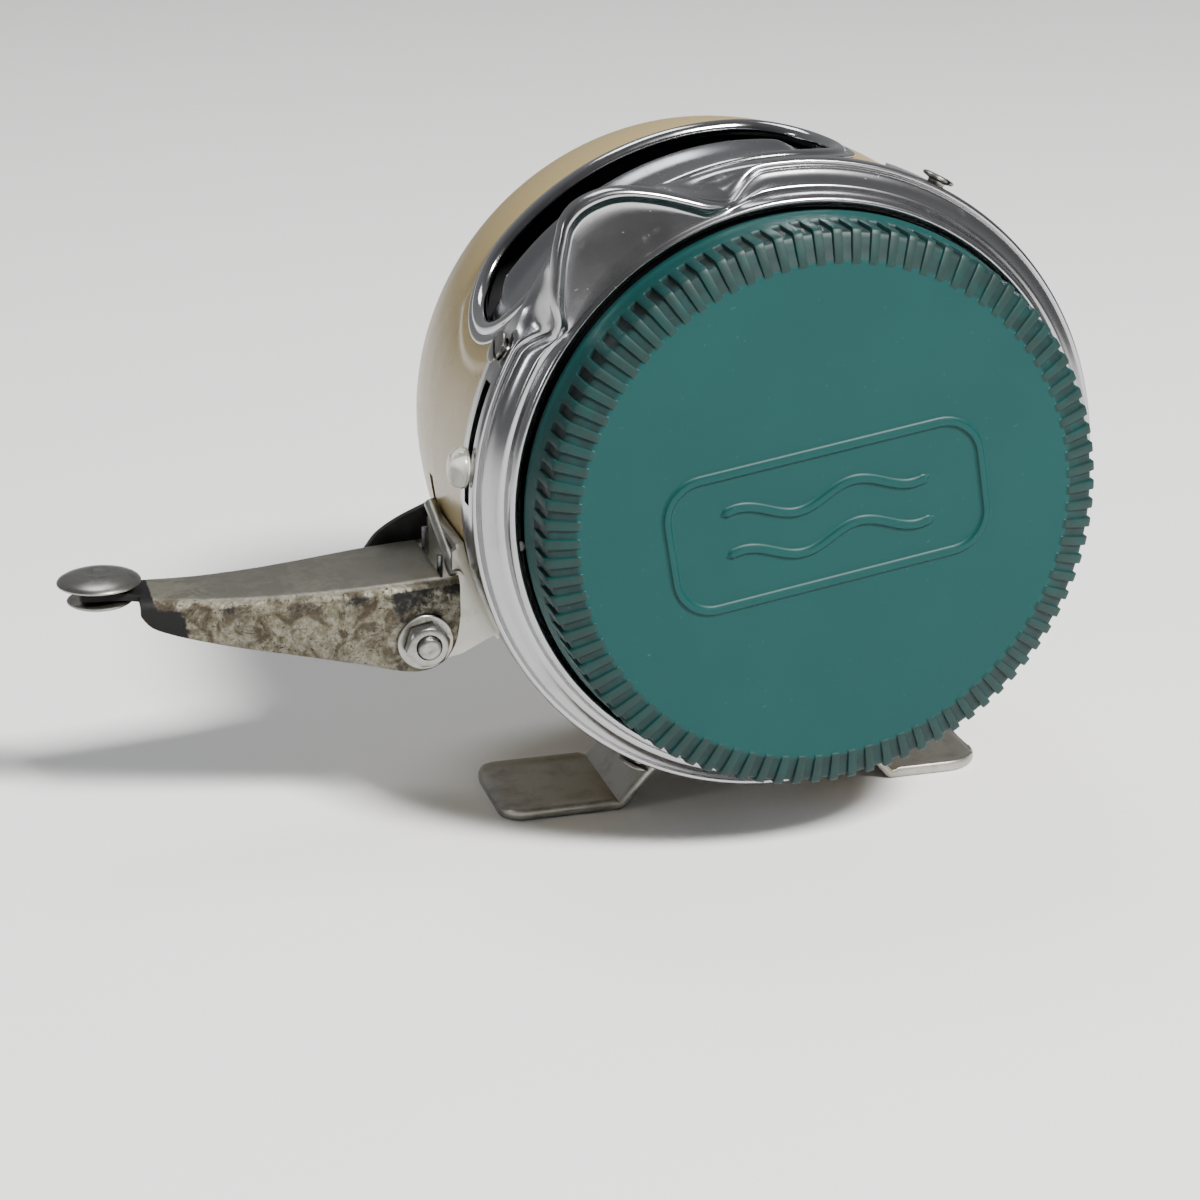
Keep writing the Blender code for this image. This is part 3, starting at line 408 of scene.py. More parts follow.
def teal_finish():
    fin = Finish("teal_plastic", (0.0015, 0.034, 0.0325), 0.0, 0.42, Specular_IOR_Level=0.2)
    cloud = fin.noise(0.06, 3)
    fin.tint(fin.range(cloud, 0.35, 0.7, 0.0, 0.5), (0.002, 0.039, 0.037))
    # blotchy noise: grime on the ridges; on the groove floors, painted shade in the recesses mixed with
    # grime
    grime_and_groove_shade = fin.range(fin.noise(0.5, 5), 0.30, 0.62, 0.55, 1.0)
    fin.tint(fin.math("MULTIPLY", grime_and_groove_shade, fin.attribute("ridge")), (0.009, 0.019, 0.017))
    fin.tint(fin.math("MULTIPLY", grime_and_groove_shade, fin.attribute("groove")), (0.006, 0.010, 0.010))
    specks = fin.range(fin.cells(0.55), 0.0, 0.09, 1.0, 0.0)
    fin.tint(fin.math("MULTIPLY", specks, 0.22), (0.05, 0.14, 0.135))
    marks = fin.math("MAXIMUM", scratches(fin, 1.6, 20, 0.74, 0.82), scratches(fin, 1.3, 115, 0.76, 0.84))
    fin.tint(fin.math("MULTIPLY", marks, 0.35), (0.04, 0.13, 0.125))
    fin.roughen(0.40, (cloud, 0.10), (marks, 0.15))
    fin.bump(fin.noise(5.0, 3), 0.010, 0.6)
    fin.bump(marks, -0.01, 0.4)
    return fin.mat


def aluminium_finish(name="polished_aluminium", colour=(0.365, 0.365, 0.375), rough=0.17):
    fin = Finish(name, colour, 1.0, rough)
    rings = fin.turned()
    lines = fin.noise(4.5, 2, 0.5, where=rings)
    smudge = fin.noise(0.16, 4, 0.6)
    fin.tint(fin.range(smudge, 0.5, 0.72, 0.0, 0.35), (0.26, 0.265, 0.275))
    pits = fin.range(fin.cells(0.8), 0.02, 0.07, 1.0, 0.0)
    worn = fin.range(fin.noise(0.5, 5, 0.7), 0.56, 0.72)
    fin.tint(fin.math("MULTIPLY", pits, worn), (0.22, 0.21, 0.19))
    marks = fin.math("MAXIMUM", scratches(fin, 2.0, 35, 0.70, 0.80), scratches(fin, 1.7, 140, 0.72, 0.82))
    fin.roughen(rough - 0.05, (smudge, 0.10), (lines, 0.05), (marks, 0.12), (worn, 0.06))
    fin.bump(lines, 0.0012, 0.5)
    fin.bump(fin.noise(0.35, 3), 0.014, 0.3)
    fin.bump(marks, -0.006, 0.4)
    return fin.mat


def enamel_finish():
    fin = Finish("tan_enamel", (0.325, 0.245, 0.100), 0.0, 0.30, Specular_IOR_Level=0.28, Coat_Weight=0.04,
                 Coat_Roughness=0.12)
    cloud = fin.noise(0.07, 3)
    fin.tint(fin.range(cloud, 0.4, 0.7, 0.0, 0.4), (0.290, 0.232, 0.115))
    chips = fin.math("MULTIPLY", fin.range(fin.noise(1.1, 6, 0.7), 0.66, 0.70), 0.5)
    fin.tint(chips, (0.17, 0.14, 0.09))
    dust = fin.range(fin.cells(0.7), 0.0, 0.06, 1.0, 0.0)
    fin.tint(fin.math("MULTIPLY", dust, 0.35), (0.20, 0.17, 0.12))
    marks = scratches(fin, 1.5, 60, 0.74, 0.84)
    fin.tint(fin.math("MULTIPLY", marks, 0.3), (0.42, 0.37, 0.27))
    # painted shade: the cover's inner surface goes near-black so the gap behind the window reads dark
    fin.tint(fin.attribute("inside"), (0.010, 0.010, 0.011))
    fin.roughen(0.22, (cloud, 0.10), (marks, 0.2))
    fin.bump(fin.noise(0.8, 4), 0.012, 0.5)
    fin.bump(fin.noise(6.0, 2), 0.002, 0.5)
    return fin.mat


def chrome_finish():
    fin = Finish("chrome_plate", (0.44, 0.44, 0.45), 1.0, 0.10)
    smudge = fin.noise(0.3, 4, 0.6)
    marks = scratches(fin, 2.2, 80, 0.68, 0.80)
    pits = fin.range(fin.cells(1.1), 0.02, 0.06, 1.0, 0.0)
    worn = fin.range(fin.noise(0.6, 4), 0.52, 0.66)
    fin.tint(fin.math("MULTIPLY", pits, worn), (0.20, 0.18, 0.16))
    fin.roughen(0.06, (smudge, 0.12), (marks, 0.15))
    fin.bump(fin.noise(0.6, 3), 0.02, 0.3)
    return fin.mat


def satin_finish(name="satin_aluminium", colour=(0.37, 0.36, 0.325), rough=0.34):
    fin = Finish(name, colour, 1.0, rough)
    grain = fin.noise(2.6, 6, 0.65)
    stain = fin.noise(0.22, 5, 0.6)
    fin.tint(fin.range(stain, 0.46, 0.7, 0.0, 0.55), (0.19, 0.178, 0.148))
    spots = fin.range(fin.noise(1.6, 5, 0.7), 0.63, 0.70)
    fin.tint(fin.math("MULTIPLY", spots, 0.7), (0.15, 0.125, 0.09))
    marks = fin.math("MAXIMUM", scratches(fin, 1.8, 15, 0.68, 0.80), scratches(fin, 1.5, 100, 0.70, 0.82))
    fin.tint(fin.math("MULTIPLY", marks, 0.5), (0.45, 0.44, 0.42))
    fin.roughen(rough - 0.06, (grain, 0.14), (stain, 0.10))
    fin.bump(grain, 0.02, 0.4)
    return fin.mat


def nickel_finish():
    """Trigger: smooth grey plate on top, eaten and stained sides, dark patches by the tip and round the
    pivot, and painted shade along the folds.
    """
    fin = Finish("aged_nickel", (0.275, 0.265, 0.225), 1.0, 0.4, Specular_IOR_Level=0.3)
    wear = fin.attribute("wear")
    stain = fin.noise(0.30, 6, 0.65, distortion=0.6)
    fine = fin.noise(1.4, 6, 0.7)
    pale = fin.math("MULTIPLY", fin.range(fine, 0.36, 0.60, 0.55, 1.0), wear)
    fin.tint(pale, (0.082, 0.073, 0.046))
    brown = fin.math("MULTIPLY", fin.range(stain, 0.45, 0.60), wear)
    fin.tint(fin.math("MULTIPLY", brown, 0.9), (0.024, 0.016, 0.008))
    pits = fin.math("MULTIPLY", fin.range(fin.noise(2.3, 5, 0.75), 0.57, 0.64), fin.range(wear, 0.05, 0.9))
    fin.tint(pits, (0.02, 0.016, 0.012))
    dots = fin.range(fin.cells(1.3), 0.04, 0.12, 1.0, 0.0)
    fin.tint(fin.math("MULTIPLY", dots, fin.range(stain, 0.5, 0.6, 0.0, 0.7)), (0.06, 0.045, 0.03))
    # dark patches low by the tip, on the tip and round the pivot, plus painted shade along the fold between
    # top plate and flanges
    dark_patch_and_fold_shade = fin.range(fin.math("ADD", fin.attribute("dark_patch_and_fold_shade"), fin.math("MULTIPLY", fine, 0.5)), 0.62, 0.82)
    fin.tint(dark_patch_and_fold_shade, (0.006, 0.006, 0.006))
    dull = fin.math("MAXIMUM", fin.math("MAXIMUM", pale, brown), dark_patch_and_fold_shade)
    fin.link(fin.range(dull, 0.0, 1.0, 1.0, 0.45), fin.bsdf.inputs["Metallic"])
    fin.roughen(0.30, (fine, 0.16), (dull, 0.25))
    fin.bump(fine, 0.05, 0.35)
    fin.bump(pits, -0.06, 0.6)
    return fin.mat


def steel_finish(name="bright_steel", colour=(0.28, 0.275, 0.26), rough=0.26, rust=0.25):
    fin = Finish(name, colour, 1.0, rough)
    grain = fin.noise(4.0, 5, 0.6)
    stain = fin.noise(0.7, 5, 0.65)
    fin.tint(fin.range(stain, 0.45, 0.68, 0.0, 0.7), (0.17, 0.16, 0.13))
    spots = fin.range(fin.noise(2.0, 6, 0.75), 0.62, 0.70, 0.0, rust * 3)
    fin.tint(spots, (0.13, 0.075, 0.04))
    fin.roughen(rough - 0.06, (grain, 0.12), (stain, 0.10), (spots, 0.2))
    fin.bump(grain, 0.012, 0.5)
    return fin.mat


def plain_finish(name, colour, metallic, rough, vary, grain_mm=0.01):
    """Small hidden or half-hidden pieces: grain and slow colour change in their own tone."""
    fin = Finish(name, colour, metallic, rough)
    slow = fin.noise(0.5, 4, 0.6)
    fin.tint(fin.range(slow, 0.4, 0.7), tuple(c * vary for c in colour))
    fin.roughen(rough - 0.05, (fin.noise(3.0, 5), 0.16))
    fin.bump(fin.noise(4.0, 5, 0.6), grain_mm, 0.6)
    return fin.mat


def clear_finish():
    fin = Finish("clear_plastic", (0.80, 0.80, 0.72), 0.0, 0.16, Transmission_Weight=0.93, IOR=1.49)
    fin.tint(fin.range(fin.noise(0.9, 4), 0.4, 0.7, 0.0, 0.4), (0.60, 0.58, 0.46))
    fin.roughen(0.10, (fin.noise(2.5, 4), 0.16))
    fin.bump(fin.noise(3.0, 3), 0.01, 0.5)
    return fin.mat


TEAL = teal_finish()
POLISHED = aluminium_finish()
DRUM = aluminium_finish("drum_aluminium", (0.30, 0.305, 0.32), 0.20)
TAN = enamel_finish()
CHROME = chrome_finish()
SATIN = satin_finish()
NICKEL = nickel_finish()
STEEL = steel_finish()
SPRING = steel_finish("spring_steel", (0.30, 0.31, 0.34), 0.30, 0.1)
BRASS = plain_finish("brass_bushing", (0.62, 0.44, 0.17), 1.0, 0.30, 0.6)
BLACK = plain_finish("black_steel", (0.014, 0.014, 0.015), 0.2, 0.42, 1.9)
RUBBER = plain_finish("brake_rubber", (0.022, 0.020, 0.018), 0.0, 0.75, 1.8, 0.03)
FIBRE = plain_finish("red_fibre", (0.24, 0.05, 0.03), 0.0, 0.65, 0.6, 0.03)
# spool painted near-black: painted shade for the dark gap behind the line window
SPOOL_SHADE = plain_finish("spool_painted_shade", (0.04, 0.04, 0.042), 0.7, 0.45, 1.2)
CLEAR = clear_finish()


# ---------------------------------------------------------------- winding knob
RIDGE_COLUMNS = ((0.00, 0.0), (0.02, 0.55), (0.045, 0.93), (0.08, 1.0), (0.27, 1.0), (0.46, 1.0),
                 (0.495, 0.93), (0.52, 0.5), (0.545, 0.0), (0.64, 0.0), (0.77, 0.0), (0.91, 0.0))
# rows from the face out over the crest to the flange: (ridge r, ridge y, groove r, groove y)
KNOB_ROWS = ((29.95, -0.90, 29.95, -0.90), (30.2, -0.90, 30.2, -0.90), (30.32, -0.98, 30.5, -0.86),
             (30.45, -1.04, 30.8, -0.76), (30.75, -1.03, 31.1, -0.66), (32.2, -0.66, 32.1, -0.33),
             (33.6, -0.26, 33.1, -0.06), (34.02, -0.10, 33.55, 0.12), (34.22, 0.06, 33.77, 0.26),
             (34.30, 0.30, 33.85, 0.50), (34.30, 2.2, 33.85, 2.2), (34.30, 3.7, 33.85, 3.7),
             (34.30, 4.0, 33.88, 4.0), (34.31, 4.25, 33.98, 4.25), (34.32, 4.42, 34.16, 4.42),
             (34.33, 4.52, 34.33, 4.52))
MOTIF_TILT = 9.0


def raised_line(path, half, top_y, base_y, closed):
    """Moulded rib along an (x, z) path: rounded crest, flared foot, sunk a little into the face."""
    section = [(-half - 0.22, base_y + 0.25), (-half - 0.22, base_y - 0.01), (-half - 0.06, base_y - 0.06),
               (-half + 0.05, base_y - 0.2), (-half + 0.18, top_y + 0.05), (0, top_y),
               (half - 0.18, top_y + 0.05), (half - 0.05, base_y - 0.2), (half + 0.06, base_y - 0.06),
               (half + 0.22, base_y - 0.01), (half + 0.22, base_y + 0.25)]
    rings = []
    n = len(path)
    for i, (x, z) in enumerate(path):
        ahead = path[(i + 1) % n] if closed else path[min(i + 1, n - 1)]
        behind = path[i - 1] if (closed or i) else path[0]
        dx, dz = ahead[0] - behind[0], ahead[1] - behind[1]
        size = math.hypot(dx, dz)
        nx, nz = -dz / size, dx / size
        end = 1.0 if closed else smooth(min(i, n - 1 - i) / 3.0) * 0.85 + 0.15
        rings.append([(x + nx * s * end, base_y + (y - base_y) * (end if y < base_y else 1.0),
                       z + nz * s * end)
                      for s, y in section])
    return loft(rings, closed)


def tilted(points):
    t = math.radians(MOTIF_TILT)
    return [(x * math.cos(t) - z * math.sin(t), x * math.sin(t) + z * math.cos(t)) for x, z in points]


def build_knob():
    pitch = 360.0 / GROOVES
    rings = []
    for rr, ry, gr, gy in KNOB_ROWS:
        ring = []
        for g in range(GROOVES):
            for k, h in RIDGE_COLUMNS:
                ring.append(polar(gr + (rr - gr) * h, (g + k) * pitch, gy + (ry - gy) * h))
        rings.append(ring)
    for r, y in spline([(34.36, 4.7), (34.45, 5.9), (34.6, 6.5), (34.7, 6.75)], 2)[1:]:
        rings.append([polar(r, (g + k) * pitch, y) for g in range(GROOVES) for k, _ in RIDGE_COLUMNS])
    for r, y in ((34.70, 7.75), (34.62, 7.93), (34.45, 8.0), (33.5, 8.0), (33.3, 7.9), (32.3, 1.9),
                 (31.9, 1.6),
                 (11.2, 1.4), (11.0, 1.6), (11.0, 9.0), (8.1, 9.0), (8.1, 2.4)):
        rings.append([polar(r, (g + k) * pitch, y) for g in range(GROOVES) for k, _ in RIDGE_COLUMNS])
    cols = GROOVES * len(RIDGE_COLUMNS)
    verts = [p for ring in rings for p in ring]
    faces = grid_faces(len(rings), cols, False, True)
    # flat face: rings that thin out towards the middle
    last = list(range(cols))
    for r, step in ((28.5, 2), (24.0, 2), (16.0, 3), (8.0, 2)):
        count = len(last) // step
        base = len(verts)
        crown = KNOB_ROWS[0][1] - 0.03 * (1 - (r / 30.0) ** 2)
        verts += [polar(r, 360.0 * i / count, crown) for i in range(count)]
        for i in range(count):
            outer = [last[(i * step + k) % len(last)] for k in range(step + 1)]
            faces.append(outer + [base + (i + 1) % count, base + i])
        last = [base + i for i in range(count)]
    tip = len(verts)
    verts.append((0, KNOB_ROWS[0][1] - 0.03, 0))
    faces += [(last[i], last[(i + 1) % len(last)], tip) for i in range(len(last))]
    start = (len(rings) - 1) * cols
    tip = len(verts)
    verts.append((0, 2.4, 0))
    faces += [(start + i, start + (i + 1) % cols, tip) for i in range(cols)]

    base_y = KNOB_ROWS[0][1] - 0.02
    ribs = []
    corners = []
    w, h, r = 19.5, 8.1, 4.6
    for sx, sz, a0 in ((1, 1, 0), (-1, 1, 90), (-1, -1, 180), (1, -1, 270)):
        corners += arc(sx * (w - r), sz * (h - r), r, a0, a0 + 90, 10)
    ribs.append(raised_line(tilted(corners), 0.5, -1.34, base_y, True))
    for dz in (-2.6, 2.6):
        wave = [(x / 4.0, dz + 1.1 * math.sin(x / 4.0 / 2.3)) for x in range(-52, 53)]
        ribs.append(raised_line(tilted(wave), 0.5, -1.34, base_y, False))
    knob = shape("knob", merge((verts, faces), *ribs), TEAL, 40)

    def ridge(co, _):
        rad = math.hypot(co.x, co.z)
        if rad < 30.3 or co.y > 4.4:
            return 0.0
        ratio = ((math.degrees(math.atan2(co.z, co.x)) % pitch) / pitch)
        return (0.85 if co.y < 0.2 else 0.25) if 0.03 < ratio < 0.52 else 0.0

    # groove floors, strongest on the side wall: where the painted shade of the recesses, mixed with grime,
    # is laid
    def groove(co, _):
        rad = math.hypot(co.x, co.z)
        ratio = ((math.degrees(math.atan2(co.z, co.x)) % pitch) / pitch)
        if rad > 30.6 and co.y < 4.5 and (ratio > 0.53 or ratio < 0.01):
            return 0.75 if co.y < 0.6 else 1.0
        return 0.0

    paint(knob, "ridge", ridge)
    paint(knob, "groove", groove)
    return settle(knob, "winder", "teal_plastic", "winding_knob")


# ---------------------------------------------------------------- front housing
# line hood: radius of its rolled rim against angle, and how far its foot stands out from the skirt
HOOD_RIM = ((98.0, 35.9), (103.0, 36.4), (106.5, 37.6), (109.3, 38.7), (112.3, 40.2), (115.0, 41.7),
            (117.6, 43.1), (120.2, 44.4), (123.0, 45.4), (127.0, 46.0), (130.0, 45.6), (131.6, 44.8),
            (134.0, 43.6), (137.1, 41.9), (140.3, 40.2), (143.3, 37.9), (145.6, 36.4), (151.0, 35.9))
HOOD_FOOT = ((101.0, 0.0), (108.0, 0.2), (114.0, 1.0), (120.0, 2.2), (128.0, 2.8), (134.0, 2.2),
             (140.0, 1.4),
             (146.0, 0.6), (149.6, 0.0))
HOOD_MIX = ((96.0, 0.0), (107.0, 1.0), (140.5, 1.0), (151.0, 0.0))
HOOD_TILT = 0.22                # how far the pocket's floor leans back, per mm of radius
# plain face profile (r, y) from the knob's gap to the skirt
HOUSING_PLAIN = ((34.1, 9.6), (34.75, 9.45), (35.05, 9.0), (35.2, 8.6), (35.42, 8.4), (35.7, 8.36),
                 (36.0, 8.55),
                 (36.22, 9.0), (36.36, 9.7), (36.52, 10.12), (36.85, 10.18), (37.15, 10.3), (37.34, 10.62),
                 (37.7, 11.2), (38.1, 11.66), (38.5, 11.95), (38.72, 12.15), (38.8, 12.6), (38.93, 12.93),
                 (39.2, 12.84), (39.48, 12.9), (39.64, 13.2), (39.7, 13.6))
HOUSING_BACK = ((8.4, 10.4), (34.5, 10.4), (35.7, 10.8), (36.6, 11.7), (37.8, 12.9), (38.3, 13.5),
                (38.98, 14.2))
SKIRT_REAR_Y, NOTCH_REAR_Y, SKIRT_T = 19.0, 14.9, 0.72


def screw_holes():
    return [lathe_radial([(0.0, 35.5), (1.45, 35.5), (1.45, 41.5), (0.0, 41.5)], 20, a, SCREW_Y)
            for a in SCREW_ANGLES]


def arc_block(r0, r1, y0, y1, a0, a1, n):
    return loft([[polar(r, a0 + (a1 - a0) * i / n, y) for r, y in ((r0, y0), (r1, y0), (r1, y1), (r0, y1))]
                 for i in range(n + 1)])


def hood_profile(rim, foot):
    """Flat pocket behind the bead, a rolled rim round it and a smooth wall back to the skirt."""
    roll = min(1.0, (rim - 36.4) / 2.4)      # the rim tapers away into the bead at both ends
    floor_r = rim - 2.5 * roll
    floor_y = 8.8 + HOOD_TILT * (floor_r - 36.3)
    top = floor_y - 0.25 - 0.6 * roll
    mid = (36.2 + floor_r) / 2
    side = foot - rim
    return [(34.1, 9.6), (34.75, 9.45), (35.05, 9.0), (35.2, 8.65), (35.4, 8.42), (35.62, 8.4),
            (35.82, 8.52),
            (36.0, 8.68), (36.2, 8.78), (mid, 8.8 + HOOD_TILT * (mid - 36.3)), (floor_r, floor_y),
            (rim - 2.05 * roll, floor_y - 0.08), (rim - 1.7 * roll, top + 0.45),
            (rim - 1.4 * roll, top + 0.12),
            (rim - 1.05 * roll, top), (rim - 0.62 * roll, top + 0.1), (rim - 0.28 * roll, top + 0.42),
            (rim - 0.08 * roll, top + 0.95), (rim, top + 1.5), (rim + side * 0.2, top + 2.2),
            (rim + side * 0.52, 12.4), (rim + side * 0.86, 13.2), (foot, 13.9)]


def build_front_housing():
    n = 432
    rim_at, foot_at = curve_lookup(HOOD_RIM), curve_lookup(HOOD_FOOT)
    rings = []
    for j in range(n):
        a = 360.0 * j / n
        inside = HOOD_MIX[0][0] < a < HOOD_MIX[-1][0]
        w = eased(a, HOOD_MIX) if inside else 0.0
        rim = max(rim_at(a), 36.6) if inside else 36.6
        foot = SKIRT_R + (foot_at(a) if HOOD_FOOT[0][0] < a < HOOD_FOOT[-1][0] else 0.0)
        cutback = smooth((a - 70.0) / 2.0) * smooth((151.5 - a) / 9.0)
        rear = SKIRT_REAR_Y + (NOTCH_REAR_Y - SKIRT_REAR_Y) * cutback
        hood_back = [(8.4, 10.4), (34.5, 10.4), (36.3, 10.3), (max(rim - 2.0, 36.6), 11.2),
                     (rim - 0.9, 10.9),
                     (rim - 0.8, 11.4), (foot - SKIRT_T, 13.8)]
        front = [(p[0] + (q[0] - p[0]) * w, p[1] + (q[1] - p[1]) * w)
                 for p, q in zip(HOUSING_PLAIN[:-1] + ((foot, 13.6),), hood_profile(rim, foot))]
        front = spline(front, 2)
        back = [(p[0] + (q[0] - p[0]) * w, p[1] + (q[1] - p[1]) * w) for p,
                q in zip(HOUSING_BACK, hood_back)]
        skirt = [(foot, front[-1][1] + (rear - front[-1][1]) * f) for f in (0.35, 0.7)]
        lip = [(foot, rear - 0.16), (foot - 0.1, rear), (foot - SKIRT_T + 0.1, rear),
               (foot - SKIRT_T, rear - 0.16)]
        loop = [(8.4, 9.6), (20.0, 9.6)] + front + skirt + lip + back[::-1]
        rings.append([polar(r, a, y) for r, y in loop])
    housing = shape("housing_front", loft(rings, True), POLISHED, 38)
    carve(housing, arc_block(38.0, 41.0, SCREW_Y - 1.1, SCREW_Y + 1.1, 158.0, 180.0, 24), *screw_holes(),
          sharp=38)
    return settle(housing, "body", "polished_aluminium", "front_housing")


# ---------------------------------------------------------------- rear cover, drum, line guard
def window_path(grow, n_end, n_side):
    """Obround outline of the line window as (angle, y, direction out) on the unrolled cover."""
    per_deg = math.radians(COVER_R)
    half_w, half_l = GUARD_HALF_W + grow, GUARD_HALF_A * per_deg + grow
    straight = half_l - half_w
    pts = []
    for side in (1, -1):
        for k in range(n_side):
            pts.append((side * straight * (1 - 2 * k / n_side), side * half_w, 90 if side > 0 else 270))
        for k in range(n_end):
            a = (90 if side > 0 else 270) + 180.0 * k / n_end
            t = math.radians(a)
            pts.append((-side * straight + half_w * math.cos(t), half_w * math.sin(t), a))
    return [(GUARD_A + u / per_deg, GUARD_Y + v, a) for u, v, a in pts]


def window_distance(deg, y):
    """Distance outside the window's edge on the unrolled cover, negative inside it."""
    per_deg = math.radians(COVER_R)
    straight = GUARD_HALF_A * per_deg - GUARD_HALF_W
    u, v = (deg - GUARD_A) * per_deg, y - GUARD_Y
    u = max(abs(u) - straight, 0.0)
    return math.hypot(u, v) - GUARD_HALF_W


def build_rear_cover():
    t, front_y, dish = 0.7, 14.3, COVER_BACK_Y - 2.6
    side = spline(COVER_SIDE, 5)
    rows = [front_y + (side[0][1] - front_y) * k / 64 for k in range(65)]
    outer = [(COVER_R, y) for y in rows] + side[1:] + [(26.0, COVER_BACK_Y), (17.2, COVER_BACK_Y)]
    outer += [(16.4, COVER_BACK_Y - 0.12), (15.9, COVER_BACK_Y - 0.6), (14.3, dish + 0.4),
              (13.6, dish + 0.05),
              (12.8, dish), (3.3, dish)]
    inner = [(3.3, dish - t), (13.9, dish - t), (16.4, COVER_BACK_Y - t), (30.0, COVER_BACK_Y - t),
             (33.6, 57.4),
             (35.3, 56.6), (36.3, 55.1)]
    inner += [(r - t, y) for r, y in COVER_SIDE[3::-1]] + [(COVER_R - t, front_y)]
    n = 480
    rings = []
    for j in range(n):
        a = 360.0 * j / n
        ring = []
        for i, (rr, y) in enumerate(outer + inner):
            if i < 65:
                away = window_distance(a, y)
                rr += 0.28 * smooth((5.4 - away) / 1.1)
            ring.append(polar(rr, a, y))
        rings.append(ring)
    cover = shape("housing_rear", loft(rings, True), TAN, 38)
    window = loft([[polar(rr, a, y) for a, y, _ in window_path(0.0, 32, 24)] for rr in (20.0, 37.0, 40.0,
                                                            60.0)])
    rivets = [lathe_z([(0.0, -36.0), (1.55, -36.0), (1.55, -41.0), (0.0, -41.0)], 16, (x, FOOT_Y))
              for x in FOOT_RIVETS]
    rivets += [lathe_radial([(0.0, 36.5), (1.25, 36.5), (1.25, 41.0), (0.0, 41.0)], 16, a, y)
               for a, y in BRACKET_RIVETS]
    carve(cover, window, *screw_holes(), arc_block(36.5, 40.0, 13.0, 17.6, 156.2, 184.5, 20),
          arc_block(36.5, 40.0, 40.0, 42.2, 186.0, 200.5, 12), *rivets, sharp=38)
    skin = spline(COVER_SIDE, 5)
    # marks the cover's inner surface for the painted shade inside the housing
    paint(cover, "inside", lambda co, _: 1.0 if math.hypot(co.x, co.z) < (
        COVER_R if co.y < skin[0][1] else lerp(co.y, [(y, r) for r, y in skin])) - 0.2
        and co.y < COVER_BACK_Y - (0.3 if math.hypot(co.x, co.z) > 17.0 else 3.0) else 0.0)
    return settle(cover, "body", "tan_enamel", "rear_cover")


def build_drum():
    r, t, yb, fillet, n = DRUM_R, 0.8, 32.5, 1.6, 432
    outer = [(r, 14.9), (r, 20.0), (r, 26.0)] + [(r, yb - 4.5 + 0.4 * k) for k in range(8)]
    outer += arc(r - fillet, yb - fillet, fillet, 0, 90, 9) + [(30.5, yb), (20.0, yb), (7.4, yb)]
    inner = [(7.4, yb - t), (20.0, yb - t)] + arc(r - fillet, yb - fillet, fillet - t, 90, 0, 5)
    inner += [(r - t, yb - 2.6), (r - t, yb - 4.0), (r - t, 14.9)]
    rings = []
    for j in range(n):
        a = 360.0 * j / n
        lip = DRUM_LIP * smooth((a - 79.0) / 6.0) * smooth((148.0 - a) / 6.0)
        rings.append([polar(rr + (lip * smooth((y - yb + 4.5) / 3.5) if rr > 31.0 else 0.0), a, y)
                      for rr, y in outer + inner])
    drum = shape("drum", loft(rings, True), DRUM, 35)
    carve(drum, *screw_holes(), arc_block(36.0, 38.2, 14.0, 17.6, 156.2, 190.0, 20), sharp=35)
    return settle(drum, "body", "polished_aluminium", "spring_drum")


def build_line_guard():
    section = [(-0.35, -0.72), (-0.35, 0.3), (0.6, 0.32), (2.0, 0.3), (2.12, 0.42), (2.04, 0.6),
               (1.6, 0.66),
               (1.2, 0.66), (0.94, 0.6), (0.8, 0.66), (0.66, 0.86), (0.4, 1.02), (0.05, 1.1), (-0.3, 1.04),
               (-0.66, 0.82), (-0.9, 0.5), (-1.0, 0.2), (-0.98, -0.12), (-0.86, -0.3), (-0.66, -0.72)]
    section = section[:3] + spline(section[3:], 3)
    rings = [[polar(COVER_R + h, a, y) for a, y, _ in window_path(out, 40, 64)] for out, h in section]
    count = len(rings[0])
    verts = [rings[i][j] for j in range(count) for i in range(len(section))]
    guard = shape("guard_rim", (verts, grid_faces(count, len(section), True, True)), CHROME, 50)
    return settle(guard, "body", "chrome_plate", "line_guard")


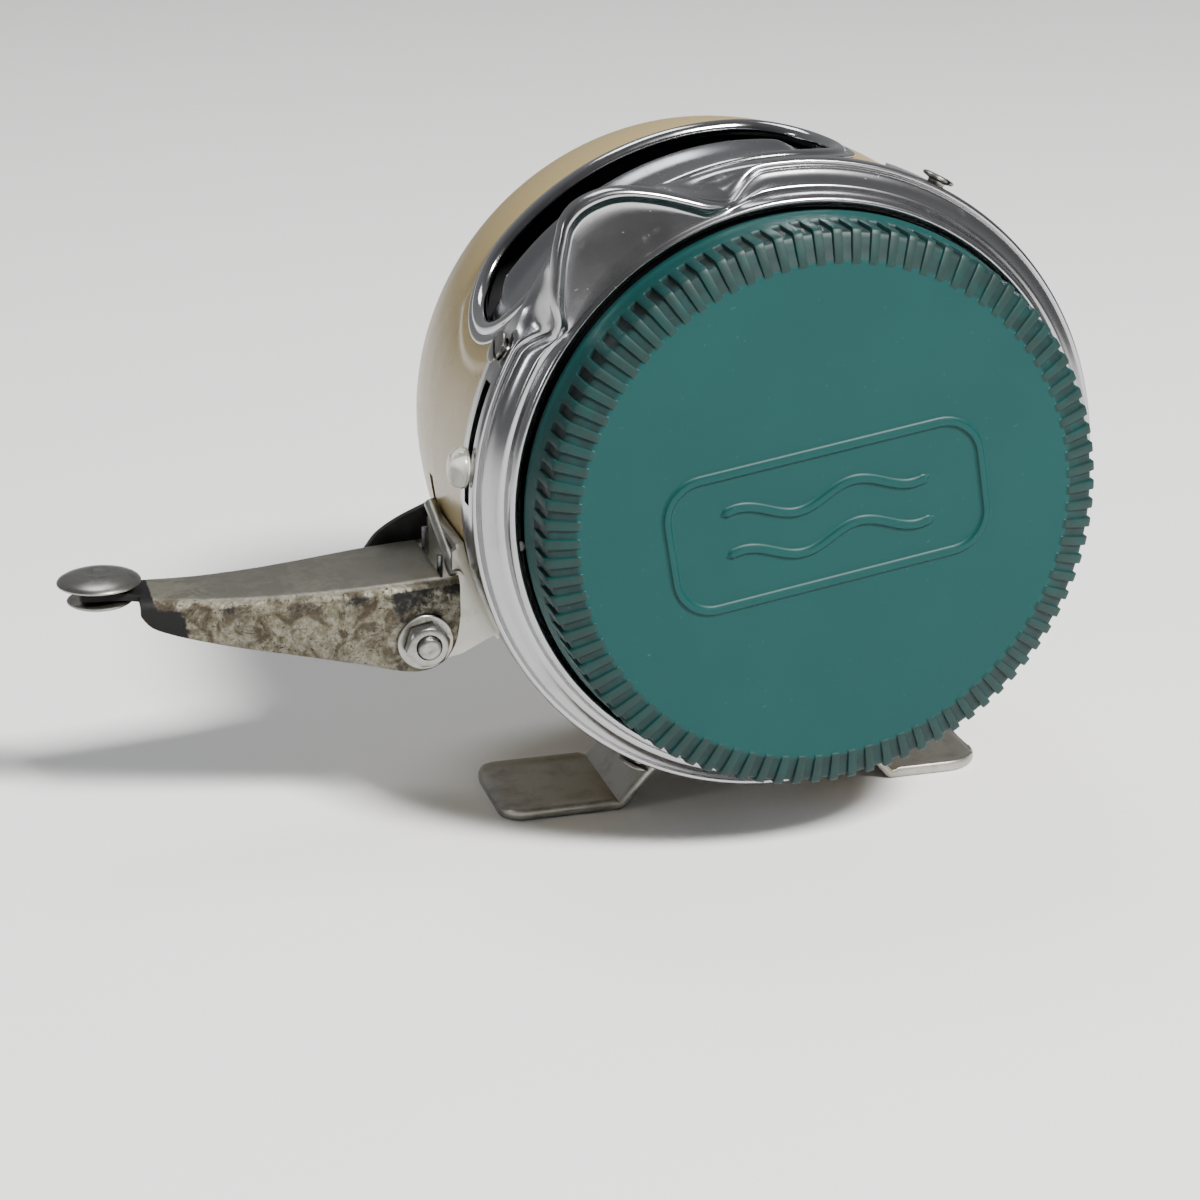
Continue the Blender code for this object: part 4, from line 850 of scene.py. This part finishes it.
# ---------------------------------------------------------------- foot
def build_foot():
    saddle, thick = COVER_R + 0.3, 1.2
    x_left, x_right = -33.8, 31.6
    corners = (3.0, 5.0)
    middle = [19.6, 19.0, 18.6, 18.3, 18.0, 17.6, 17.0, 15.0, 13.0, 12.2, 11.6, 11.1, 10.6, 10.0, 8.0, 6.0,
              4.0, 2.0]
    xs = [x_left + f for f in (0.0, 0.05, 0.15, 0.35, 0.65, 1.0, 1.5, 2.2, 3.0, 5.0, 7.0, 9.0, 11.0, 13.0)]
    xs += [-x for x in middle] + [0.0] + middle[::-1]
    xs += [x_right - f for f in (11.0, 9.0, 7.0, 5.0, 3.8, 2.8, 2.0, 1.4, 0.9, 0.5, 0.22, 0.08, 0.0)]

    def spine(x):
        """Middle surface height: flat pad, riser, then the saddle round the cover."""
        ax = abs(x)
        cyl = -math.sqrt(saddle ** 2 - min(ax, 18.0) ** 2) - thick / 2
        pad = SEAT_Z + thick / 2 + 0.02
        rise = smooth((18.75 - ax) / 7.9) if ax > 10.8 else 1.0
        straight = max(0.0, min(1.0, (18.45 - ax) / 7.3))
        f = 0.25 * rise + 0.75 * straight
        return pad + (cyl - pad) * f

    rings = []
    for x in xs:
        ax = abs(x)
        end, corner = (x_left, corners[0]) if x < 0 else (x_right, corners[1])
        into = max(0.0, corner - abs(end - x))
        half = 8.5 - corner + math.sqrt(max(corner ** 2 - into ** 2, 0.0))
        mid = spine(x)
        slope = (spine(x + 0.15) - spine(x - 0.15)) / 0.3
        size = math.hypot(1, slope)
        nx, nz = -slope / size, 1 / size
        on_pad = smooth((ax - 18.6) / 1.0)
        edge_up = 0.35 * on_pad
        tip = smooth(abs(end - x) / 1.0)
        ring = []
        side = [(-half, -0.25), (-half + 0.12, -0.5), (-half + 0.45, -0.6), (-half + 2.0, -0.6),
                (0.0, -0.6)]
        side += [(-p[0], p[1]) for p in reversed(side[:-1])]
        side += [(half, 0.25 + edge_up), (half - 0.15, 0.5 + edge_up), (half - 0.5, 0.6 + edge_up * 0.9),
                 (half - 1.2, 0.6 + edge_up * 0.25), (half - 2.4, 0.6)]
        side += [(0.0, 0.6)] + [(-p[0], p[1]) for p in reversed(side[-5:])]
        for y, d in side:
            up = d * (0.55 + 0.45 * tip) if ax > 29 else d
            if ax > 18.3 and d < 0:
                ring.append((x, FOOT_Y + y, SEAT_Z + 0.6 + d + (0.15 if d > -0.6 else 0.0)))
            else:
                ring.append((x + nx * up, FOOT_Y + y, mid + nz * up))
        rings.append(ring)
    foot = shape("foot_plate", loft(rings), SATIN, 40)
    holes = [lathe_z([(0.0, -36.5), (1.55, -36.5), (1.55, -42.0), (0.0, -42.0)], 20, (x, FOOT_Y))
             for x in FOOT_RIVETS]
    carve(foot, *holes, sharp=40)
    settle(foot, "body", "satin_aluminium", "reel_foot")
    for k, x in enumerate(FOOT_RIVETS, 1):
        under = -math.sqrt(saddle ** 2 - x * x) - thick
        over = -math.sqrt((COVER_R - 0.7) ** 2 - x * x)
        profile = [(0.0, under - 1.2), (0.9, under - 1.15), (1.7, under - 1.0), (2.25, under - 0.75),
                   (2.5, under - 0.5), (2.45, under - 0.36), (1.25, under - 0.34), (1.25, over),
                   (0.0, over)]
        settle(shape(f"rivet_foot_{k}", lathe_z(profile, 32, (x, FOOT_Y)), SATIN, 40), "body",
               "satin_aluminium",
               f"foot_rivet_{k}")


# ---------------------------------------------------------------- trigger
LEVER_TOP = ((-77.6, -12.4), (-76.0, -12.5), (-70.0, -12.9), (-62.0, -12.95), (-54.0, -12.6),
             (-46.0, -12.1),
             (-39.0, -11.7))
LEVER_LOW = ((-77.6, -14.6), (-76.9, -15.6), (-75.8, -16.4), (-72.0, -17.7), (-66.0, -19.2), (-59.0, -20.6),
             (-51.0, -22.3), (-45.5, -23.6), (-43.0, -23.5), (-41.0, -22.5), (-39.6, -20.3), (-39.0, -17.0))
LEVER_HALF = ((-77.6, 4.5), (-76.0, 4.7), (-70.0, 5.5), (-58.0, 7.2), (-48.0, 8.4), (-39.0, 8.5))
LEVER_WALL = 0.9
TIP_X = -82.0


def build_lever():
    top_at, low_at, half_at = curve_lookup(LEVER_TOP), curve_lookup(LEVER_LOW), curve_lookup(LEVER_HALF)
    xs = [-77.6, -77.45, -77.2, -76.8, -76.3, -75.6, -74.8]
    xs += [-74.0 + 0.75 * k for k in range(38)] + [-45.6, -45.0, -44.3, -43.6, -43.0, -42.4, -41.8, -41.2,
                                                   -40.6]
    xs += [-40.1, -39.7, -39.4, -39.2, -39.08, -39.0]
    t, c, fold = LEVER_WALL, FOOT_Y, 1.5
    rings = []
    for x in xs:
        top, low, half = top_at(x), low_at(x), half_at(x)
        crown = 0.16
        ring = [(half - t, low + 0.12), (half - t * 0.5, low), (half - 0.12, low + 0.04),
                (half, low + 0.18),
                (half, low + (top - fold - low) * 0.5)]
        ring += [(half - fold + fold * math.cos(math.radians(a)),
                  top - fold + fold * math.sin(math.radians(a)))
                 for a in range(0, 91, 15)]
        ring += [(half * 0.45, top + crown * 0.7), (0.0, top + crown)]
        ring += [(-y, z) for y, z in reversed(ring[:-1])]
        inner = [(half - t, top - fold), (half - t - 0.25, top - t - 0.22), (half - fold - 0.2, top - t),
                 (0.0, top - t)]
        ring += [(-y, z) for y, z in inner] + [(y, z) for y, z in reversed(inner[:-1])]
        rings.append([(x, c + y, z) for y, z in ring])
    lever = shape("lever", loft(rings), NICKEL, 45)
    tongue_side = [(-76.4, -12.5), (-77.8, -12.15), (-79.5, -11.85), (-84.3, -11.6), (-84.45, -11.75),
                   (-84.45, -12.35), (-84.3, -12.5), (-79.5, -12.75), (-77.8, -13.05), (-76.4, -13.3)]
    carve(lever, prism(tongue_side, 28.6, 34.4), operation="UNION", sharp=45)
    px, pz = PIVOT
    gap = [(-41.2, -9.0), (-41.2, -14.6), (-36.0, -14.6), (-36.0, -9.0)]
    hole = arc(px, pz, 2.35, 0, 345, 23)
    carve(lever, prism(gap, 23.95, 39.05), prism(hole, 20, 44), sharp=45)
    soften(lever, 0.14, 2, 60, 45)

    def wear(co, normal):
        side = smooth((abs(co.y - c) - half_at(co.x) + 1.1) / 0.8)
        rub = 0.16 + 0.14 * noise.noise(co * 0.12)
        near_tip = smooth((-66.0 - co.x) / 8.0) * 0.25
        return max(0.0, min(1.0, rub + near_tip + side * (0.78 + 0.3 * noise.noise(co * 0.2))))

    # mask: darker low by the tip, on the tip and in a ring round the pivot, plus painted shade along the
    # folds
    def dark_patch_and_fold_shade(co, normal):
        lower = smooth((-13.2 - co.z) / 1.6)
        patch = smooth((-70.5 - co.x) / 3.5) * lower
        ring = 1.0 - smooth((math.hypot(co.x - px, co.z - pz) - 3.2) / 1.1)
        tip = smooth((-75.3 - co.x) / 1.2) * 0.75
        side = smooth((abs(co.y - c) - half_at(co.x) + 0.6) / 0.4)
        below = top_at(co.x) - co.z
        strength = 0.36 + 0.12 * smooth((co.x + 62.0) / 14.0)
        # painted shade: dark band where the top plate bends down into each flange
        fold = side * smooth((below - 0.5) / 0.5) * (1 - smooth((below - 1.5) / 1.6)) * strength
        return max(patch, 0.42 * ring, tip, fold + 0.3 * side * noise.noise(co * 0.35))

    paint(lever, "wear", wear)
    paint(lever, "dark_patch_and_fold_shade", dark_patch_and_fold_shade)
    settle(lever, "trigger", "aged_nickel", "trigger_lever")

    top = [(0.0, -9.98), (0.6, -9.97), (1.1, -9.9), (1.5, -9.78), (2.0, -9.78), (2.9, -9.92), (3.8, -10.16),
           (4.5, -10.42), (4.95, -10.68), (5.1, -10.88), (5.08, -11.06), (4.9, -11.16), (4.4, -11.2),
           (1.2, -11.3), (1.2, -13.2), (0.0, -13.2)]
    button = shape("button_upper", lathe_z(top, 64, (TIP_X, c)), STEEL, 40)
    settle(button, "trigger", "bright_steel", "trigger_button_top")
    low = [(0.0, -14.2), (0.9, -14.18), (1.9, -14.08), (3.0, -13.85), (3.7, -13.6), (4.0, -13.38),
           (3.98, -13.2),
           (3.7, -13.02), (1.5, -13.0), (1.5, -13.55), (0.0, -13.55)]
    settle(shape("button_lower", lathe_z(low, 64, (TIP_X, c)), STEEL, 40), "trigger", "bright_steel",
           "trigger_button_bottom")


def build_pivot():
    px, pz = PIVOT
    bolt = [(0.0, 19.75), (0.35, 19.7), (0.75, 19.6), (1.05, 19.62), (1.3, 19.75), (1.42, 20.0)]
    thread = []
    for k in range(5):
        y = 20.1 + 0.36 * k
        thread += [(1.45, y), (1.3, y + 0.18)]
    bolt += thread + [(1.45, 22.0), (2.0, 22.4), (2.0, 42.1), (3.5, 42.1), (3.6, 42.25), (3.6, 43.0),
                      (3.3, 43.5),
                      (2.6, 43.8), (0.0, 43.9)]
    settle(shape("bolt", lathe(bolt, 40, PIVOT), STEEL, 35), "body", "bright_steel", "pivot_bolt")
    hexagon = [(px + 2.85 * math.cos(math.radians(12 + 60 * k)),
                pz + 2.85 * math.sin(math.radians(12 + 60 * k)))
               for k in range(6)]
    nut = shape("nut", prism(hexagon, 20.3, 22.1), STEEL)
    dome = [(0.0, 20.25), (1.9, 20.25), (2.4, 20.42), (2.75, 20.78), (3.1, 21.4), (3.1, 22.3), (0.0, 22.3)]
    carve(nut, lathe(dome, 48, PIVOT), operation="INTERSECT")
    carve(nut, prism(arc(px, pz, 1.62, 0, 352.5, 47), 19, 24))
    soften(nut, 0.12, 3, 25, 45)
    settle(nut, "body", "bright_steel", "pivot_nut")
    washer = [(2.35, 22.32), (2.45, 22.3), (3.4, 22.3), (3.5, 22.38), (3.5, 22.68), (3.4, 22.75),
              (2.35, 22.75)]
    settle(shape("washer", lathe(washer, 48, PIVOT), STEEL, 35), "body", "bright_steel", "nut_washer")


def build_return_spring():
    px, pz = PIVOT
    turns, per = 5, 28
    coil = [(px + 3.1 * math.cos(2 * math.pi * i / per), 27.3 + 8.4 * i / (turns * per),
             pz + 3.1 * math.sin(2 * math.pi * i / per)) for i in range(turns * per + 1)]
    lead = spline([(-40.55, 27.3, -10.2), (-40.58, 27.3, -12.5), (-40.6, 27.3, -15.0),
                   (-40.55, 27.3, -18.0)], 5)
    tail = spline([(-40.55, 35.7, -18.0), (-40.6, 35.7, -15.0), (-40.58, 35.7, -12.0),
                   (-40.55, 35.7, -9.2)], 5)
    wire = shape("spring_wire", tube(lead + coil[1:-1] + tail, 0.38, 14), SPRING, 60)
    settle(wire, "body", "spring_steel", "return_spring")


def build_bracket():
    px, pz = PIVOT
    base_r = COVER_R + 0.3
    base = arc_block(base_r, base_r + 1.0, 24.3, 38.7, 191.5, 211.5, 40)
    ear = [polar(base_r + 0.3, a, 0) for a in (192.0, 195.0, 198.0, 201.0, 204.0, 207.5, 210.5)]
    ear = [(p[0], p[2]) for p in ear]
    ear += [(-38.6, -22.3), (-41.0, -22.7)] + arc(px, pz, 3.5, 255, 105, 20)
    ear += [(-40.8, -15.6), (-39.7, -13.6), (-39.6, -8.9)]
    bracket = shape("bracket", base, SATIN)
    carve(bracket, prism(ear, 24.3, 25.3), prism(ear, 37.7, 38.7), operation="UNION")
    bar_path = spline([(-39.15, 24.3, -12.0), (-39.15, 25.0, -11.6), (-39.15, 31.5, -9.35),
                       (-39.15, 37.9, -7.3),
                       (-39.15, 38.45, -7.15)], 6)
    carve(bracket, tube(bar_path, 0.8, 20), operation="UNION")
    carve(bracket, prism(arc(px, pz, 2.35, 0, 348.75, 31), 23, 40))
    for a, y in BRACKET_RIVETS:
        carve(bracket, lathe_radial([(0.0, 37.0), (1.25, 37.0), (1.25, 42.0), (0.0, 42.0)], 20, a, y))
    soften(bracket, 0.2, 3, 50, 50)
    settle(bracket, "body", "satin_aluminium", "hinge_bracket")
    for k, (a, y) in enumerate(BRACKET_RIVETS, 1):
        rivet = [(0.0, 38.0), (0.95, 38.0), (0.95, 40.3), (1.85, 40.32), (1.9, 40.45), (1.75, 40.75),
                 (1.3, 41.0), (0.6, 41.1), (0.0, 41.1)]
        settle(shape(f"rivet_bracket_{k}", lathe_radial(rivet, 28, a, y), SATIN, 40), "body",
               "satin_aluminium",
               f"bracket_rivet_{k}")


def build_brake():
    px, pz = PIVOT
    boss = arc(px, pz, 3.7, 190, 340, 20)
    inner = [polar(34.95, a, 0) for a in (197.0, 195.2, 193.5, 191.7, 190.0)]
    outline = boss + [(-38.4, -16.6), (-36.6, -12.6)] + [(p[0], p[2]) for p in inner]
    fin_top = spline([(-36.0, -6.3), (-38.4, -7.5), (-43.0, -9.5), (-45.8, -11.3), (-47.5, -13.4)], 5)
    arm = shape("arm", prism(outline + fin_top, 40.5, 41.7), BLACK)
    carve(arm, prism(arc(px, pz, 2.35, 0, 348.75, 31), 39, 43))
    soften(arm, 0.22, 3, 50, 50)
    settle(arm, "brake", "black_steel", "brake_arm")
    shoe = shape("shoe", arc_block(34.75, 35.9, 33.9, 40.2, 190.4, 196.6, 12), RUBBER)
    soften(shoe, 0.2, 2, 50, 50)
    settle(shoe, "brake", "brake_rubber", "brake_shoe")


# ---------------------------------------------------------------- button, screws
def build_release_button():
    dome = [(0.0, 37.2), (0.8, 37.2), (0.8, 40.0), (2.3, 40.0), (2.48, 40.12), (2.55, 40.5), (2.48, 40.95),
            (2.25, 41.4), (1.85, 41.78), (1.3, 42.02), (0.7, 42.13), (0.0, 42.15)]
    button = shape("button_release", lathe_radial(dome, 40, BUTTON_A, SCREW_Y), CLEAR, 50)
    settle(button, "release", "clear_plastic", "release_button")


def build_screws():
    for k, a in enumerate(SCREW_ANGLES, 1):
        profile = [(0.0, 35.9), (1.0, 35.9)]
        for i in range(8):
            profile += [(1.15, 36.1 + 0.42 * i), (0.98, 36.31 + 0.42 * i)]
        profile += [(1.1, 40.1), (1.9, 40.3), (2.02, 40.42), (2.05, 40.55), (1.95, 40.7), (1.6, 40.8),
                    (1.0, 40.85), (0.0, 40.85)]
        screw = shape(f"screw_{k}", lathe_radial(profile, 36, a, SCREW_Y), STEEL, 40)
        c, s = math.cos(math.radians(a)), math.sin(math.radians(a))
        turn = math.radians(25 + 47 * k)
        ring = []
        for d in (40.42, 41.5):
            corners = []
            for u, v in ((-2.4, -0.25), (2.4, -0.25), (2.4, 0.25), (-2.4, 0.25)):
                u, v = u * math.cos(turn) - v * math.sin(turn), u * math.sin(turn) + v * math.cos(turn)
                corners.append((d * c - u * s, SCREW_Y + v, d * s + u * c))
            ring.append(corners)
        carve(screw, loft(ring), sharp=40)
        settle(screw, "body", "bright_steel", f"housing_screw_{k}")


# ---------------------------------------------------------------- spool and inner pieces
def build_spool():
    y0, y1, r, hub, t = 34.0, 54.2, 34.4, 11.0, 1.2
    half = [(5.2, y0), (hub, y0), (20.0, y0), (r - 0.4, y0), (r - 0.12, y0 + 0.1), (r, y0 + 0.35),
            (r, y0 + t - 0.35), (r - 0.12, y0 + t - 0.1), (r - 0.4, y0 + t), (20.0, y0 + t),
            (hub + 0.8, y0 + t),
            (hub + 0.2, y0 + t + 0.2), (hub, y0 + t + 0.8)]
    mirror = [(a, y0 + y1 - b) for a, b in reversed(half)]
    # the near-black spool finish is painted shade for the gap seen through the window
    spool = shape("spool_turned", lathe(half + mirror, 180), SPOOL_SHADE, 40)
    settle(spool, "reel_spool", "satin_aluminium", "spool")


def finish_inner_pieces():
    for name, mat in (("spring_barrel", SATIN), ("mainspring", SPRING), ("spring_arbor", STEEL),
                      ("spool_bushing", BRASS), ("spool_clip", STEEL), ("spindle", STEEL),
                      ("spindle_washer", FIBRE), ("spindle_nut", STEEL), ("release_slide", STEEL),
                      ("ratchet_pawl", STEEL), ("pawl_pin", STEEL), ("pawl_spring", SPRING)):
        node = frame["nodes"][name]
        for slot in node.material_slots:
            slot.material = mat


# ---------------------------------------------------------------- camera, light, floor
CAMERA_AT = (-116.2, -315.7, 110.1)
YAW, PITCH, ROLL = 15.67, 19.8, -0.17
FOCAL = 90.0


def aim(obj, target):
    direction = Vector(target) - obj.location
    obj.rotation_euler = direction.to_track_quat("-Z", "Y").to_euler()


def build_camera():
    data = bpy.data.cameras.new("camera")
    data.lens, data.sensor_width, data.sensor_fit = FOCAL, 36.0, "HORIZONTAL"
    data.clip_start, data.clip_end = 0.01, 20.0
    cam = bpy.data.objects.new("camera", data)
    bpy.context.scene.collection.objects.link(cam)
    yaw, pitch, roll = (math.radians(v) for v in (YAW, PITCH, ROLL))
    ahead = Vector((math.sin(yaw) * math.cos(pitch), math.cos(yaw) * math.cos(pitch), -math.sin(pitch)))
    level = Vector((math.cos(yaw), -math.sin(yaw), 0.0))
    rise = level.cross(ahead)
    right = math.cos(roll) * level + math.sin(roll) * rise
    up = -math.sin(roll) * level + math.cos(roll) * rise
    turn = Matrix((right, up, -ahead)).transposed().to_4x4()
    cam.matrix_world = Matrix.Translation(AXIS + Vector(CAMERA_AT) * MM) @ turn
    bpy.context.scene.camera = cam


def area_light(name, at_mm, target_mm, size_mm, watts, colour=(1, 1, 1), wide=None):
    data = bpy.data.lights.new(name, "AREA")
    data.shape = "RECTANGLE"
    data.size = size_mm * MM
    data.size_y = (wide or size_mm) * MM
    data.energy, data.color = watts, colour
    light = bpy.data.objects.new(name, data)
    bpy.context.scene.collection.objects.link(light)
    light.location = AXIS + Vector(at_mm) * MM
    aim(light, AXIS + Vector(target_mm) * MM)


def build_light():
    area_light("key", (415, -960, 1070), (0, 20, -20), 270, 76.0, (1.0, 0.985, 0.96))
    area_light("top_fill", (-60, 320, 800), (0, 20, 0), 320, 2.2, (0.96, 0.98, 1.0))
    area_light("left_fill", (-900, -200, 350), (0, 0, 0), 150, 1.0, (0.95, 0.97, 1.0))
    world = bpy.data.worlds.new("studio")
    bpy.context.scene.world = world
    world.use_nodes = True
    tree = world.node_tree
    coords = tree.nodes.new("ShaderNodeTexCoord")
    split = tree.nodes.new("ShaderNodeSeparateXYZ")
    ramp = tree.nodes.new("ShaderNodeMapRange")
    tree.links.new(coords.outputs["Generated"], split.inputs[0])
    tree.links.new(split.outputs["Y"], ramp.inputs["Value"])
    ramp.inputs["From Min"].default_value, ramp.inputs["From Max"].default_value = -0.8, 0.8
    ramp.inputs["To Min"].default_value, ramp.inputs["To Max"].default_value = 0.09, 0.32
    back = tree.nodes["Background"]
    back.inputs["Color"].default_value = (0.97, 0.98, 1.0, 1)
    tree.links.new(ramp.outputs["Result"], back.inputs["Strength"])


def build_floor():
    fin = Finish("floor_paint", (0.80, 0.80, 0.80), 0.0, 0.6)
    fin.roughen(0.55, (fin.noise(0.05, 3), 0.1))
    half = 6000.0
    floor = shape("floor", ([(-half, -half, SEAT_Z), (half, -half, SEAT_Z), (half, half, SEAT_Z),
                             (-half, half, SEAT_Z)], [(0, 1, 2, 3)]), fin.mat)
    if floor.data.polygons[0].normal.z < 0:
        floor.data.flip_normals()


build_camera()
build_light()
build_floor()
build_knob()
build_front_housing()
build_rear_cover()
build_drum()
build_line_guard()
build_foot()
build_lever()
build_pivot()
build_return_spring()
build_bracket()
build_brake()
build_release_button()
build_screws()
build_spool()
finish_inner_pieces()

bpy.context.view_layer.update()
